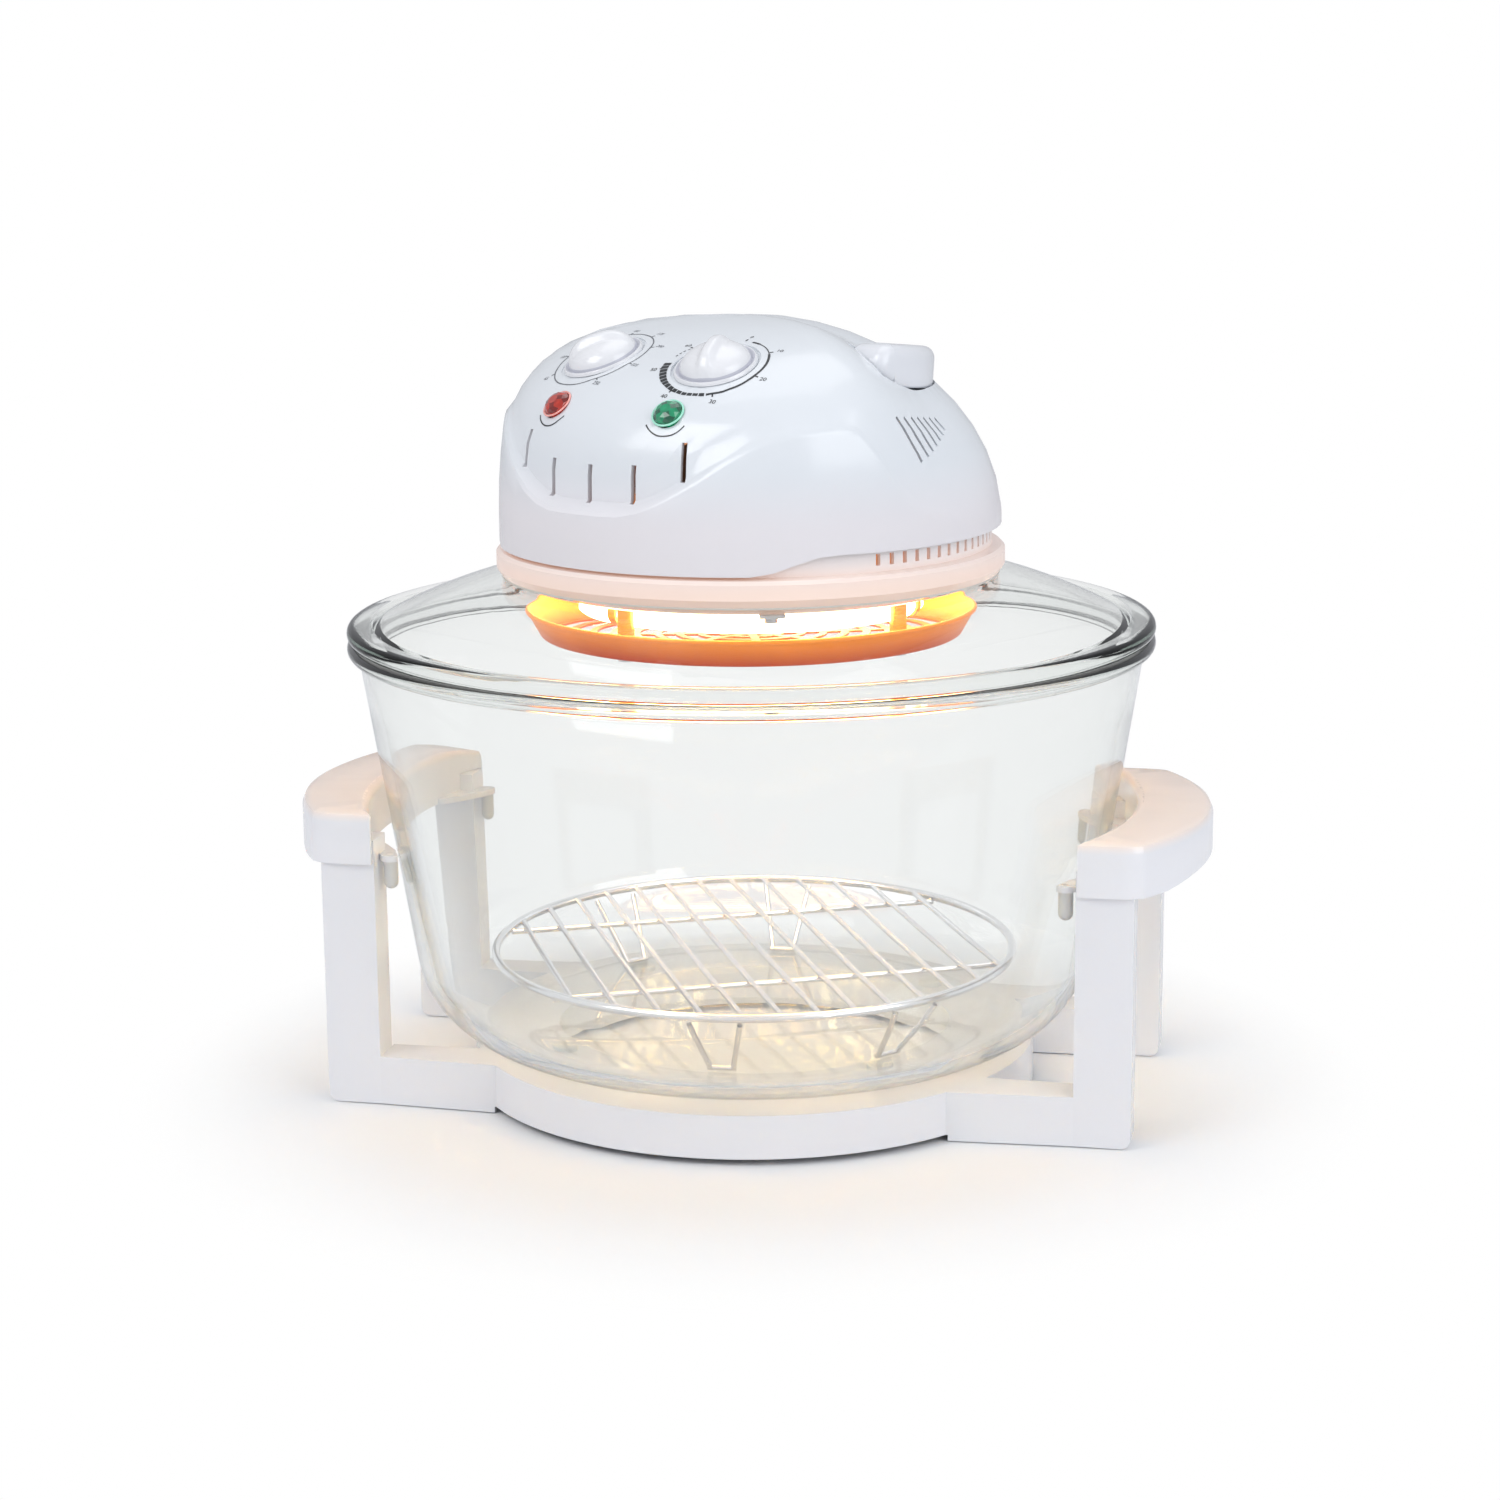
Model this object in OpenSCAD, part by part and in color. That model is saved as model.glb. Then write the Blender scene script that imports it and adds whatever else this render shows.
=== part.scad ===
// Halogen oven: a glass bowl on a two-handled stand, under a glass lid that carries
// the heater head. Millimetres, +Z up, origin on the floor at the middle of the stand.
// X runs from handle to handle, and the stand's front is -Y. The lid may sit at any
// turn on the bowl; here its panel faces head_turn degrees round from the front.

/* [Stand] */
// Outer radius of the ring under the bowl
ring_r = 119; // [112:1:124]
// Inner radius of that ring
ring_bore_r = 84; // [72:1:90]
// Height of the ring's and arms' top face above the floor
rail_top = 21; // [18:1:25]
// Gap under the ring between the feet
ring_lift = 3; // [1.5:0.5:6]
// Wall of the stand's mouldings
stand_wall = 2.6; // [2:0.2:3.4]
// Distance from the middle to a post's front or rear face
post_y = 70; // [66:1:76]
// Width of a post, along X
post_w = 23; // [20:1:26]
// Depth of a post, along Y
post_d = 15; // [13:1:18]
// Depth of an arm where it meets the ring
arm_d = 24; // [20:1:28]
// Radius of a rubber foot pad
foot_r = 6; // [5:0.5:7]
// How far a foot pad stands below the rails
foot_proud = 0.5; // [0.3:0.1:1.5]
// Height of the pads under the bowl, above the ring
bowl_pad_h = 2.7; // [2:0.1:4]

/* [Grips] */
// Height of a grip's top
grip_top = 126; // [120:1:132]
// Depth of a grip's side wall
grip_h = 22; // [18:1:26]
// Depth of a grip from its inner wall to its furthest reach
grip_depth = 31.5; // [28:0.5:38]
// Radius of the grip's outer bulge
grip_bulge_r = 122; // [110:1:140]
// Half the length of a grip, along Y
grip_half = 72; // [70:1:78]
// Space between the bowl and the grip's inner wall
grip_gap = 8.1; // [7:0.1:10]
// Wall of a grip
grip_wall = 2.8; // [2.2:0.2:3.4]
// Rise of the underside at the middle, for the fingers
grip_scoop = 3; // [1:0.5:5]

/* [Bowl] */
// How far the rim stands out from the wall
rim_out = 5; // [4:0.5:7]
// Height of the bowl's rim above the floor
bowl_top = 194.4; // [185:0.2:200]
// Thickness of the rim
rim_t = 6; // [5:0.5:7]
// Radius of the wall under the rim
bowl_wall_r = 163; // [160:0.5:163.5]
// Lean of the wall, in degrees
bowl_lean = 9; // [7:0.5:11]
// Radius of the bend into the floor
bowl_bend_r = 42; // [34:1:46]
// Thickness of the glass
glass_t = 5; // [4:0.5:6]

/* [Rack] */
// Radius of the rack's ring
rack_r = 110; // [96:1:116]
// Height of the rack above the bowl's floor
rack_h = 30; // [24:1:40]
// Radius of the ring's wire
rack_ring_wire = 1.8; // [1.4:0.1:2.4]
// Radius of the grid's and the feet's wire
rack_wire = 1.2; // [0.9:0.1:1.6]
// Distance between grid wires
rack_pitch = 15; // [11:1:20]

/* [Lid] */
// Radius of the hole that the heater head sits in
lid_hole_r = 97.5; // [96.5:0.5:99]
// Height of the lid's glass at that hole, above the bowl's rim
lid_rise = 25.5; // [22:0.5:28]
// Thickness of the lid's rim
lid_rim_t = 6.2; // [5:0.2:8]
// Thickness of the lid's glass
lid_t = 4.4; // [3.8:0.2:5]
// Depth of the skirt that keeps the lid on the bowl
lid_skirt = 6; // [4:0.5:9]

/* [Head] */
// Radius of the collar that rests on the lid
collar_r = 105.5; // [104.5:0.5:108]
// Height of the collar's outer band
collar_h = 10.5; // [8:0.5:12]
// Radius of the housing's skirt
shell_r = 104; // [103:0.5:105]
// Height of the housing above the collar's band
shell_h = 94; // [88:0.5:98]
// Wall of the housing
shell_wall = 2.6; // [2.2:0.2:3.2]
// How far the control panel is set back behind the skirt
panel_setback = 5.5; // [3:0.5:7]
// Sideways distance of each dial from the middle
dial_x = 30; // [27:0.5:32]
// Radius of a knob
knob_r = 17; // [14:0.5:18]
// Height of a knob's skirt
knob_h = 5; // [4:0.5:7]
// Height of a knob's grip above its skirt
knob_grip_h = 8; // [6:0.5:11]
// Sideways distance of each indicator lens from the middle
lens_x = 29.5; // [27:0.5:33]
// Radius of an indicator lens
lens_r = 6.2; // [5:0.2:7]
// Width of a front slot
slot_w = 2.2; // [1.6:0.2:3]
// Height of a front slot
slot_h = 15; // [10:1:18]

/* [Carrying handle] */
// Outer radius of the folding handle, which is a horseshoe
bail_r = 76; // [72:1:79]
// Width of the handle's band
bail_w = 18; // [14:1:20]
// Thickness of the handle
bail_t = 17; // [14:0.5:19]
// Height of its pivot below the housing's top
bail_drop = 17; // [15:0.5:20]
// Slope of the folded handle, in degrees
bail_slope = 6; // [3:1:9]
// Radius of a pivot pin
bail_pin_r = 2.5; // [2:0.25:3]

/* [Heater] */
// Radius of the guard's rim
guard_r = 93.6; // [90:0.4:95]
// Depth of the guard
guard_h = 11.5; // [9:0.5:14]
// Radius of the lamp's ring
lamp_r = 67; // [62:1:70]
// Radius of the lamp's tube
lamp_tube_r = 5; // [4:0.5:6]
// Radius of the hot-air fan
fan_r = 50; // [44:1:52]
// Number of blades on each fan
fan_blades = 8; // [6:1:10]
// Radius of the fan's shaft
shaft_r = 3; // [2.5:0.25:4]
// Width of the motor's core
motor_w = 52; // [46:1:56]
// Thickness of the motor's core
motor_h = 18; // [14:1:22]

/* [Hidden] */
$fn = 96;

white = [0.93, 0.93, 0.95];
clear = [0.82, 0.87, 0.86, 0.45];
steel = [0.74, 0.75, 0.77];
rubber = [0.85, 0.85, 0.84];

// Clearances
seat = 0.3;     // between a loose piece and what it rests on
run = 0.05;     // radial, between a turning shaft and its bore
ease = 0.8;     // round the folding handle in its recess
socket = 0.15;  // between pieces that fit into each other
eps = 0.01;

// Turn of the lid and head on the bowl
head_turn = -28;
// Turn of the rack in the bowl
rack_turn = 26;

// Heights that the stack gives
bowl_foot = rail_top + bowl_pad_h + seat;
bowl_floor = bowl_foot + glass_t;
lid_seat = bowl_top + seat;
lid_top = bowl_top + lid_rise;
collar_base = lid_top + 0.8;
shell_base = collar_base + collar_h + 1.5;
shell_top = shell_base + shell_h - 1.5;

module mirrored_x() { children(); mirror([1, 0, 0]) children(); }
module quadrants() { mirrored_x() { children(); mirror([0, 1, 0]) children(); } }
module ring(r_out, r_in, h) { difference() { cylinder(r = r_out, h = h);
    translate([0, 0, -1]) cylinder(r = r_in, h = h + 2); } }
function arc(cx, cy, r, a0, a1, n = 8) =
    [for (i = [0 : n]) let (a = a0 + (a1 - a0) * i / n) [cx + r * cos(a), cy + r * sin(a)]];
function smooth(e0, e1, x) = let (t = max(0, min(1, (x - e0) / (e1 - e0)))) t * t * (3 - 2 * t);
module screw(head_r, shank_r, length) {
    cylinder(r = head_r, h = 2);
    translate([0, 0, 2 - eps]) cylinder(r = shank_r, h = length);
}

// Widths that the bowl gives
rim_r = bowl_wall_r + rim_out;
function bowl_out(z) = bowl_wall_r - (bowl_top - rim_t - 2 - z) * tan(bowl_lean);
grip_inner_r = bowl_out(grip_top) + grip_gap;
grip_reach = grip_inner_r + grip_depth;

// Stand
post_in = sqrt(grip_inner_r * grip_inner_r - post_y * post_y) - 0.5;
post_x = post_in + post_w;
arm_y = post_y + 4;
foot_x = 115;
foot_y = 60;
tongue_l = 18;
tongue_z = 10;
post_top = grip_top - 12;
screw_y = post_y - post_d / 2;

module arm_plan(inset) {
    polygon([[70, -arm_y + inset], [post_in - inset, -post_y + inset],
        [post_in - inset, -post_y + post_d + 3 - inset], [70, -arm_y + arm_d - inset]]);
}
module base_frame() {
    color(white) difference() {
        union() {
            translate([0, 0, ring_lift]) ring(ring_r, ring_bore_r, rail_top - ring_lift);
            quadrants() difference() {
                translate([0, 0, foot_proud]) linear_extrude(rail_top - foot_proud) arm_plan(0);
                translate([0, 0, -1]) cube([92, arm_y * 2, 2 * (ring_lift + 1)], center = true);
                translate([60, -arm_y - 1, -1]) cube([35, arm_d + 2, ring_lift + 1]);
                cylinder(r = ring_bore_r, h = rail_top + 1);
            }
        }
        // The mouldings are open underneath
        difference() {
            union() {
                translate([0, 0, -1]) ring(ring_r - stand_wall, ring_bore_r + stand_wall, rail_top - stand_wall + 1);
                quadrants() difference() {
                    translate([0, 0, -1]) linear_extrude(rail_top - stand_wall + 1) difference() {
                        arm_plan(stand_wall);
                        circle(r = ring_r - stand_wall);
                    }
                }
            }
            for (i = [0 : 11]) rotate(i * 30 + 15) translate([ring_bore_r, -1.1, 0])
                cube([ring_r - ring_bore_r, 2.2, rail_top]);
            quadrants() {
                translate([foot_x, -foot_y, 0]) cylinder(r = foot_r + 1.6, h = rail_top);
                translate([post_in - tongue_l / 2, -screw_y, tongue_z + 4.4]) cylinder(r = 4, h = rail_top);
            }
        }
        quadrants() {
            translate([foot_x, -foot_y, -1]) cylinder(r = foot_r + 0.1, h = foot_proud + 4);
            translate([post_in - tongue_l / 2, -screw_y, tongue_z]) cylinder(r = 1.5, h = 8);
            // Way for the post's tongue
            translate([post_in - stand_wall - 1, -post_y + stand_wall + 0.2, -1])
                cube([stand_wall + 2, post_d + 3 - 2 * stand_wall - 0.4, rail_top - stand_wall + 1]);
        }
    }
}
// A front right post: a hollow column with a closed head and a tongue into the arm
module post() {
    color(white) difference() {
        union() {
            translate([post_in, -post_y, foot_proud]) cube([post_w, post_d, post_top - foot_proud]);
            translate([post_in - tongue_l, -post_y + stand_wall + 0.5, tongue_z])
                cube([tongue_l + eps, post_d + 3 - 2 * stand_wall - 1, 4.2]);
        }
        translate([post_in + stand_wall, -post_y + stand_wall, -1])
            cube([post_w - 2 * stand_wall, post_d - 2 * stand_wall, post_top - stand_wall * 1.5 + 1]);
        translate([post_in + post_w / 2, -screw_y, post_top - 6]) cylinder(r = 2.1, h = 8);
        translate([post_in - tongue_l / 2, -screw_y, tongue_z - 1]) cylinder(r = 2.1, h = 6);
        // Rounded outer foot
        translate([post_x, 0, foot_proud]) rotate([90, 0, 0]) difference() {
            translate([-4, -1, 0]) cube([8, 5, 400], center = false);
            translate([-4, 4, -1]) cylinder(r = 4, h = 402);
        }
    }
}
module post_front_right() { post(); }
module post_front_left() { mirror([1, 0, 0]) post(); }
module post_rear_right() { mirror([0, 1, 0]) post(); }
module post_rear_left() { mirror([1, 0, 0]) mirror([0, 1, 0]) post(); }

module grip_plan(inset) {
    corner = 16;
    end_x = grip_reach - 15;
    difference() {
        intersection() {
            translate([grip_reach - grip_bulge_r, 0]) circle(r = grip_bulge_r - inset, $fn = 180);
            union() {
                translate([0, -grip_half + inset]) square([end_x - corner, 2 * (grip_half - inset)]);
                translate([0, -grip_half + corner]) square([grip_reach, 2 * (grip_half - corner)]);
                for (s = [-1, 1]) translate([end_x - corner, s * (grip_half - corner)])
                    circle(r = corner - inset);
            }
        }
        circle(r = grip_inner_r + inset, $fn = 180);
    }
}
bumper_a = 24;
bumper_r = 3;
bumper_rad = bowl_out(grip_top - grip_h) + 2 * seat + bumper_r;
lug_a = 14;
lug_t = 2.6;
module grip() {
    base = grip_top - grip_h;
    color(white) difference() {
        union() {
            difference() {
                hull() {
                    translate([0, 0, base]) linear_extrude(grip_h - 4) grip_block(0);
                    translate([0, 0, grip_top - 1.6]) linear_extrude(0.4) grip_block(1.2);
                    translate([0, 0, grip_top - 0.1]) linear_extrude(0.1) grip_block(4);
                }
                cylinder(r = grip_inner_r, h = 200, $fn = 180);
                post_sockets();
            }
            // A lug carries each bumper past the post
            difference() {
                translate([0, 0, base]) linear_extrude(lug_t) for (s = [-1, 1]) hull() {
                    rotate(s * lug_a) translate([grip_inner_r + 1, 0]) circle(r = 4.5);
                    rotate(s * bumper_a) translate([bumper_rad, 0]) circle(r = 4);
                }
                post_sockets();
                translate([0, 0, base - 1])
                    cylinder(r = bowl_out(base + lug_t) + 2 * seat, h = lug_t + 2, $fn = 180);
            }
        }
        // Hollow from below
        difference() {
            translate([0, 0, base - 1]) linear_extrude(grip_h - grip_wall + 1) grip_plan(grip_wall);
            for (s = [-1, 1]) translate([post_in + post_w / 2, s * screw_y, post_top + socket])
                cylinder(r = 4.5, h = 20);
        }
        // Eased inner top edge
        rotate_extrude($fn = 180) difference() {
            translate([grip_inner_r - 1, grip_top - 3]) square([4, 4]);
            translate([grip_inner_r + 3, grip_top - 3]) circle(r = 3, $fn = 32);
        }
        for (s = [-1, 1]) {
            translate([post_in + post_w / 2, s * screw_y, post_top]) cylinder(r = 1.5, h = 8);
            rotate(s * bumper_a) translate([bumper_rad, 0, base - 1]) cylinder(r = 1.6, h = 6);
        }
        // Finger scoop along the underside
        scoop_r = (55 * 55 + grip_scoop * grip_scoop) / (2 * grip_scoop);
        translate([grip_inner_r + 4, 0, base + grip_scoop - scoop_r]) rotate([0, 90, 0])
            cylinder(r = scoop_r, h = 60, $fn = 360);
    }
}
module post_sockets() {
    for (s = [-1, 1]) translate([post_in + post_w / 2, s * screw_y, post_top + socket - 10])
        cube([post_w + 2 * socket, post_d + 2 * socket, 20], center = true);
}
module grip_block(inset) {
    corner = 16;
    end_x = grip_reach - 15;
    start = post_in + 4 * socket;
    intersection() {
        translate([grip_reach - grip_bulge_r, 0]) circle(r = grip_bulge_r - inset, $fn = 120);
        union() {
            translate([start, -grip_half + inset]) square([end_x - corner - start, 2 * (grip_half - inset)]);
            translate([start, -grip_half + corner]) square([60, 2 * (grip_half - corner)]);
            for (s = [-1, 1]) translate([end_x - corner, s * (grip_half - corner)])
                circle(r = corner - inset, $fn = 40);
        }
    }
}
module right_grip() { grip(); }
module left_grip() { mirror([1, 0, 0]) grip(); }

module stand_screws() {
    color(steel) quadrants() {
        translate([post_in + post_w / 2, -screw_y, post_top - stand_wall * 1.5 - 2]) screw(3.6, 1.5, 9);
        translate([post_in - tongue_l / 2, -screw_y, tongue_z - 2]) screw(3.6, 1.5, 6);
    }
}
module foot_pads() {
    color(rubber) quadrants() translate([foot_x, -foot_y, 0]) cylinder(r = foot_r, h = foot_proud + 3);
}
pad_rad = (ring_bore_r + 102) / 2 + 1;
module bowl_pads() {
    color(rubber) for (a = [45 : 90 : 315]) rotate(a) translate([pad_rad, 0, rail_top])
        rotate_extrude() polygon(concat([[0, 0], [5.5, 0]], arc(4.5, bowl_pad_h - 1, 1, 0, 90, 4), [[0, bowl_pad_h]]));
}
module bowl_bumpers() {
    base = grip_top - grip_h;
    color(rubber) mirrored_x() for (s = [-1, 1]) rotate(s * bumper_a) translate([bumper_rad, 0, 0]) {
        rotate_extrude() polygon(concat([[0, base - 12]], arc(0, base - 12 + bumper_r, bumper_r, -90, 0, 6),
            [[bumper_r, base], [0, base]]));
        translate([0, 0, base - eps]) cylinder(r = 1.5, h = lug_t + eps);
    }
}

// Bowl: a straight leaning wall, one bend and a flat floor
bend_z = bowl_foot + bowl_bend_r;
wall_foot_z = bend_z - bowl_bend_r * sin(bowl_lean);
wall_foot_r = bowl_wall_r - (bowl_top - rim_t - 2 - wall_foot_z) * tan(bowl_lean);
bend_c = wall_foot_r - bowl_bend_r * cos(bowl_lean);
function bowl_line(off) = concat([[0, bowl_foot + off]],
    arc(bend_c, bend_z, bowl_bend_r - off, -90, -bowl_lean, 14));
function bowl_inner_r(z) = wall_foot_r + (z - wall_foot_z) * tan(bowl_lean) - glass_t / cos(bowl_lean);
module glass_bowl() {
    top_in = bowl_inner_r(bowl_top);
    bead = rim_t / 2;
    color(clear) rotate_extrude($fn = 180) polygon(concat(
        bowl_line(0),
        [[bowl_wall_r, bowl_top - rim_t - 2], [bowl_wall_r + 0.8, bowl_top - rim_t]],
        arc(rim_r - bead, bowl_top - bead, bead, -90, 90, 8),
        arc(top_in + 1.5, bowl_top - 1.5, 1.5, 90, 180, 4),
        [for (i = [15 : -1 : 0]) bowl_line(glass_t)[i]]));
}

// Rack: a ring, parallel wires, two cross wires and four V feet
rack_z = bowl_floor + rack_h;
module rod(a, b, r) {
    d = b - a;
    translate(a) rotate([0, acos(d[2] / norm(d)), atan2(d[1], d[0])]) cylinder(r = r, h = norm(d), $fn = 24);
}
module rack_grid() {
    n = floor((rack_r - 8) / rack_pitch);
    color(steel) rotate(rack_turn) translate([0, 0, rack_z]) {
        rotate_extrude() translate([rack_r, 0]) circle(r = rack_ring_wire, $fn = 24);
        for (i = [-n : n]) let (x = i * rack_pitch, y = sqrt(rack_r * rack_r - x * x))
            rod([x, -y, 0], [x, y, 0], rack_wire);
        for (s = [-1, 1]) let (y = s * rack_r * 0.48, x = sqrt(rack_r * rack_r - y * y))
            rod([-x, y, -2 * rack_wire + 0.2], [x, y, -2 * rack_wire + 0.2], rack_wire);
    }
}
module rack_feet() {
    foot_z = bowl_floor + seat + rack_wire;
    top = [rack_r, rack_z];
    low = [rack_r - 18, foot_z];
    foot_half = 4.6;
    color(steel) rotate(rack_turn) for (a = [-90 - 22, -90 + 22, 90 - 22, 90 + 22]) rotate(a) {
        for (s = [-1, 1])
            rod([top[0] - 1, s * 10, top[1] - rack_ring_wire - rack_wire], [low[0], s * foot_half, low[1]],
                rack_wire - 0.05);
        rod([low[0], -foot_half - rack_wire, low[1]], [low[0], foot_half + rack_wire, low[1]], rack_wire);
    }
}

// Lid: a beaded rim, a skirt inside the bowl and a shallow dome with a round hole
skirt_r = bowl_inner_r(bowl_top - lid_skirt) - 1;
module glass_lid() {
    bead = lid_rim_t / 2;
    shoulder = skirt_r;
    chord = shoulder - lid_hole_r;
    rise = lid_top - lid_seat - lid_t - 1;
    bulge = 3.2;
    function dome(u, off) = [lid_hole_r + chord * u,
        lid_top - off - rise * u + bulge * 4 * u * (1 - u) * (1 - u / 3)];
    color(clear) rotate_extrude($fn = 180) polygon(concat(
        arc(rim_r - bead, lid_seat + bead, bead, -90, 90, 8),
        [[shoulder + 2, lid_seat + lid_rim_t]],
        [for (i = [10 : -1 : 0]) dome(i / 10, 0)],
        [for (i = [0 : 10]) dome(i / 10 * (1 - lid_t / chord), lid_t)],
        [[shoulder - lid_t + 0.4, bowl_top - lid_skirt], [shoulder - 0.5, bowl_top - lid_skirt],
            [shoulder, lid_seat]]));
}
module lid_gasket() {
    color([0.8, 0.8, 0.78]) rotate(head_turn) translate([0, 0, lid_top])
        ring(collar_r - 2, lid_hole_r - 0.4, collar_base - lid_top);
}

// Collar: the moulding that rests on the lid, with a deck, a spigot and a slotted vent wall
vent_r = shell_r - 4;
vent_wall = 2.2;
vent_top = shell_base + 11;
deck_z = collar_base + collar_h - 0.5;
deck_t = 2.4;
spigot_r = lid_hole_r - 0.7;
spigot_low = lid_top - lid_t - 0.5;
pillar_rad = 77;
motor_post_rad = 52;
module collar() {
    color(white) rotate(head_turn) difference() {
        union() {
            rotate_extrude($fn = 180) polygon([[spigot_r - 2.4, spigot_low], [spigot_r, spigot_low],
                [spigot_r, collar_base], [collar_r - 2, collar_base], [collar_r, collar_base + 3],
                [collar_r, collar_base + collar_h - 1.5], [collar_r - 1.5, collar_base + collar_h],
                [vent_r, collar_base + collar_h + 0.6], [vent_r, vent_top], [vent_r - vent_wall, vent_top],
                [vent_r - vent_wall, deck_z + deck_t], [motor_post_rad - 14, deck_z + deck_t],
                [motor_post_rad - 14, deck_z], [spigot_r - 2.4, deck_z]]);
            for (a = [45 : 90 : 315]) rotate(a) translate([spigot_r - 6, -5, spigot_low])
                cube([5, 10, deck_z - spigot_low + eps]);
            for (a = boss_angles) rotate(a) translate([boss_rad, 0, deck_z]) cylinder(r = 5, h = 8);
        }
        // Vent slots at the sides and back
        for (s = [-1, 1]) for (i = [0 : 22]) rotate(s * (70 + 3.7 * i)) translate([-1, -vent_r - 1, shell_base + 1.6])
            cube([2, vent_wall + 4, 4.6]);
        for (a = [45 : 90 : 315]) rotate(a) translate([spigot_r - 3.5, 0, spigot_low - 1]) cylinder(r = 1.4, h = 12);
        for (a = boss_angles) rotate(a) translate([boss_rad, 0, deck_z - 1]) cylinder(r = 1.8, h = 12);
        for (a = [0 : 90 : 270]) rotate(a) {
            translate([pillar_rad, 0, deck_z - 1]) cylinder(r = 2, h = 4);
            translate([motor_post_rad, 0, deck_z - 1]) cylinder(r = 1.6, h = 4);
        }
        lamp_leads() translate([0, 0, deck_z - 1]) cylinder(r = 3.4, h = deck_t + 2);
    }
}
module lid_clamps() {
    color(steel) rotate(head_turn) for (a = [45 : 90 : 315]) rotate(a) difference() {
        translate([spigot_r - 6, -5, spigot_low - 1]) cube([lid_hole_r + 2.5 - spigot_r + 6, 10, 1]);
        translate([spigot_r - 3.5, 0, spigot_low - 2]) cylinder(r = 1.6, h = 3);
    }
}
module clamp_screws() {
    color(steel) rotate(head_turn) for (a = [45 : 90 : 315]) rotate(a)
        translate([spigot_r - 3.5, 0, spigot_low - 3]) screw(2.8, 1.35, 9);
}
boss_angles = [32, 148, 212, 328];
boss_rad = 90;

// Housing: a lofted shell. Its skirt has an arched top edge, the control panel is a
// curved face set behind the skirt, and the back is a plain dome.
panel_z = shell_base + 35;
dome_z = shell_base + 9;
panel_r = shell_r - panel_setback;
panel_bow = 140;
panel_m = 1.45;
panel_n = 2.3;
blend_k = 20;
function dome_r(z, n) = shell_r * pow(max(0, 1 - pow(max(0, (z - dome_z) / (shell_top - dome_z)), n)), 1 / n);
// The panel's middle line is upright up to panel_z, bends back and runs up to the top.
// In plan the panel is an arc of radius panel_bow.
function panel_s(z) = max(0, (z - panel_z) / (shell_top - panel_z));
function panel_y(z) = panel_r * pow(max(0, 1 - pow(panel_s(z), panel_n)), 1 / panel_m);
function panel_slope(z) = let (c = panel_y(z) / panel_r)
    atan2(panel_m * pow(c, panel_m - 1) / panel_r, panel_n * pow(panel_s(z), panel_n - 1) / (shell_top - panel_z));
function panel_at(x, z) = panel_y(z) - panel_bow + sqrt(panel_bow * panel_bow - x * x);
// Radius of the upper body at azimuth a from the panel's middle
function hood_r(a, z) =
    let (side = dome_r(z, 3.4), back = dome_r(z, 1.95), w = smooth(62, 104, a),
        plain = max(side + (back - side) * w, 1),
        q = panel_y(z) - panel_bow,
        front = max(q * cos(a) + sqrt(max(panel_bow * panel_bow - pow(q * sin(a), 2), 0)), 1))
    pow(pow(plain, -blend_k) + pow(front, -blend_k), -1 / blend_k);
function skirt_r_at(z) = shell_r - 4 * pow(max(0, (z - dome_z - 3) / 45), 2);
// Height of the skirt's top edge: low in front, arched over each flank, low behind
function crease_z(a) = shell_base + 24.5 + 31.5 * smooth(8, 53, a) * (1 - smooth(63, 81, a)) - 12 * smooth(70, 110, a);
function edge_z(a) = shell_base + 7.5 * smooth(40, 58, a);
rows_skirt = 4;
rows_crease = 3;
rows_hood = 11;
function row_z(a, j) =
    let (e = edge_z(a), c = crease_z(a))
    j <= rows_skirt ? e + (c - 3 - e) * j / rows_skirt
    : j <= rows_skirt + rows_crease ? c - 3 + 5 * (j - rows_skirt) / rows_crease
    : let (u = (j - rows_skirt - rows_crease) / rows_hood, s0 = asin((c + 2 - dome_z) / (shell_top - dome_z)))
        dome_z + (shell_top - dome_z) * sin(s0 + (88 - s0) * u);
function shell_point_r(a, z) =
    let (h = hood_r(a, z), k = skirt_r_at(z), w = smooth(crease_z(a) + 2, crease_z(a) - 2.5, z))
    h + max(0, k - h) * w;
// Closed skin with columns round the axis, inset by a wall. Its underside is nearly
// flat where foot_in is given, and otherwise runs straight down to the height low.
module skin(cols, inset, low, foot_in = 0) {
    rows = rows_skirt + rows_crease + rows_hood;
    step = 360 / cols;
    body = [for (j = [0 : rows]) for (i = [0 : cols - 1])
        let (a0 = i * step - 180, a = abs(a0), z = row_z(a, j), r = max(2, shell_point_r(a, z) - inset))
        [r * sin(a0), -r * cos(a0), z - inset * smooth(dome_z, shell_top, z)]];
    foot = [for (i = [0 : cols - 1]) let (a0 = i * step - 180)
        foot_in > 0 ? [foot_in * sin(a0), -foot_in * cos(a0), low] : [body[i][0], body[i][1], low]];
    points = concat(foot, body, [[0, 0, shell_top - inset]]);
    faces = concat(
        [[for (i = [cols - 1 : -1 : 0]) i]],
        [for (j = [0 : rows]) for (i = [0 : cols - 1]) let (k = (i + 1) % cols, b = j * cols)
            [b + i, b + k, b + cols + k]],
        [for (j = [0 : rows]) for (i = [0 : cols - 1]) let (k = (i + 1) % cols, b = j * cols)
            [b + i, b + cols + k, b + cols + i]],
        [for (i = [0 : cols - 1]) let (b = (rows + 1) * cols) [b + i, b + (i + 1) % cols, (rows + 2) * cols]]);
    polyhedron(points, [for (f = faces) [for (i = [len(f) - 1 : -1 : 0]) f[i]]]);
}

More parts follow.
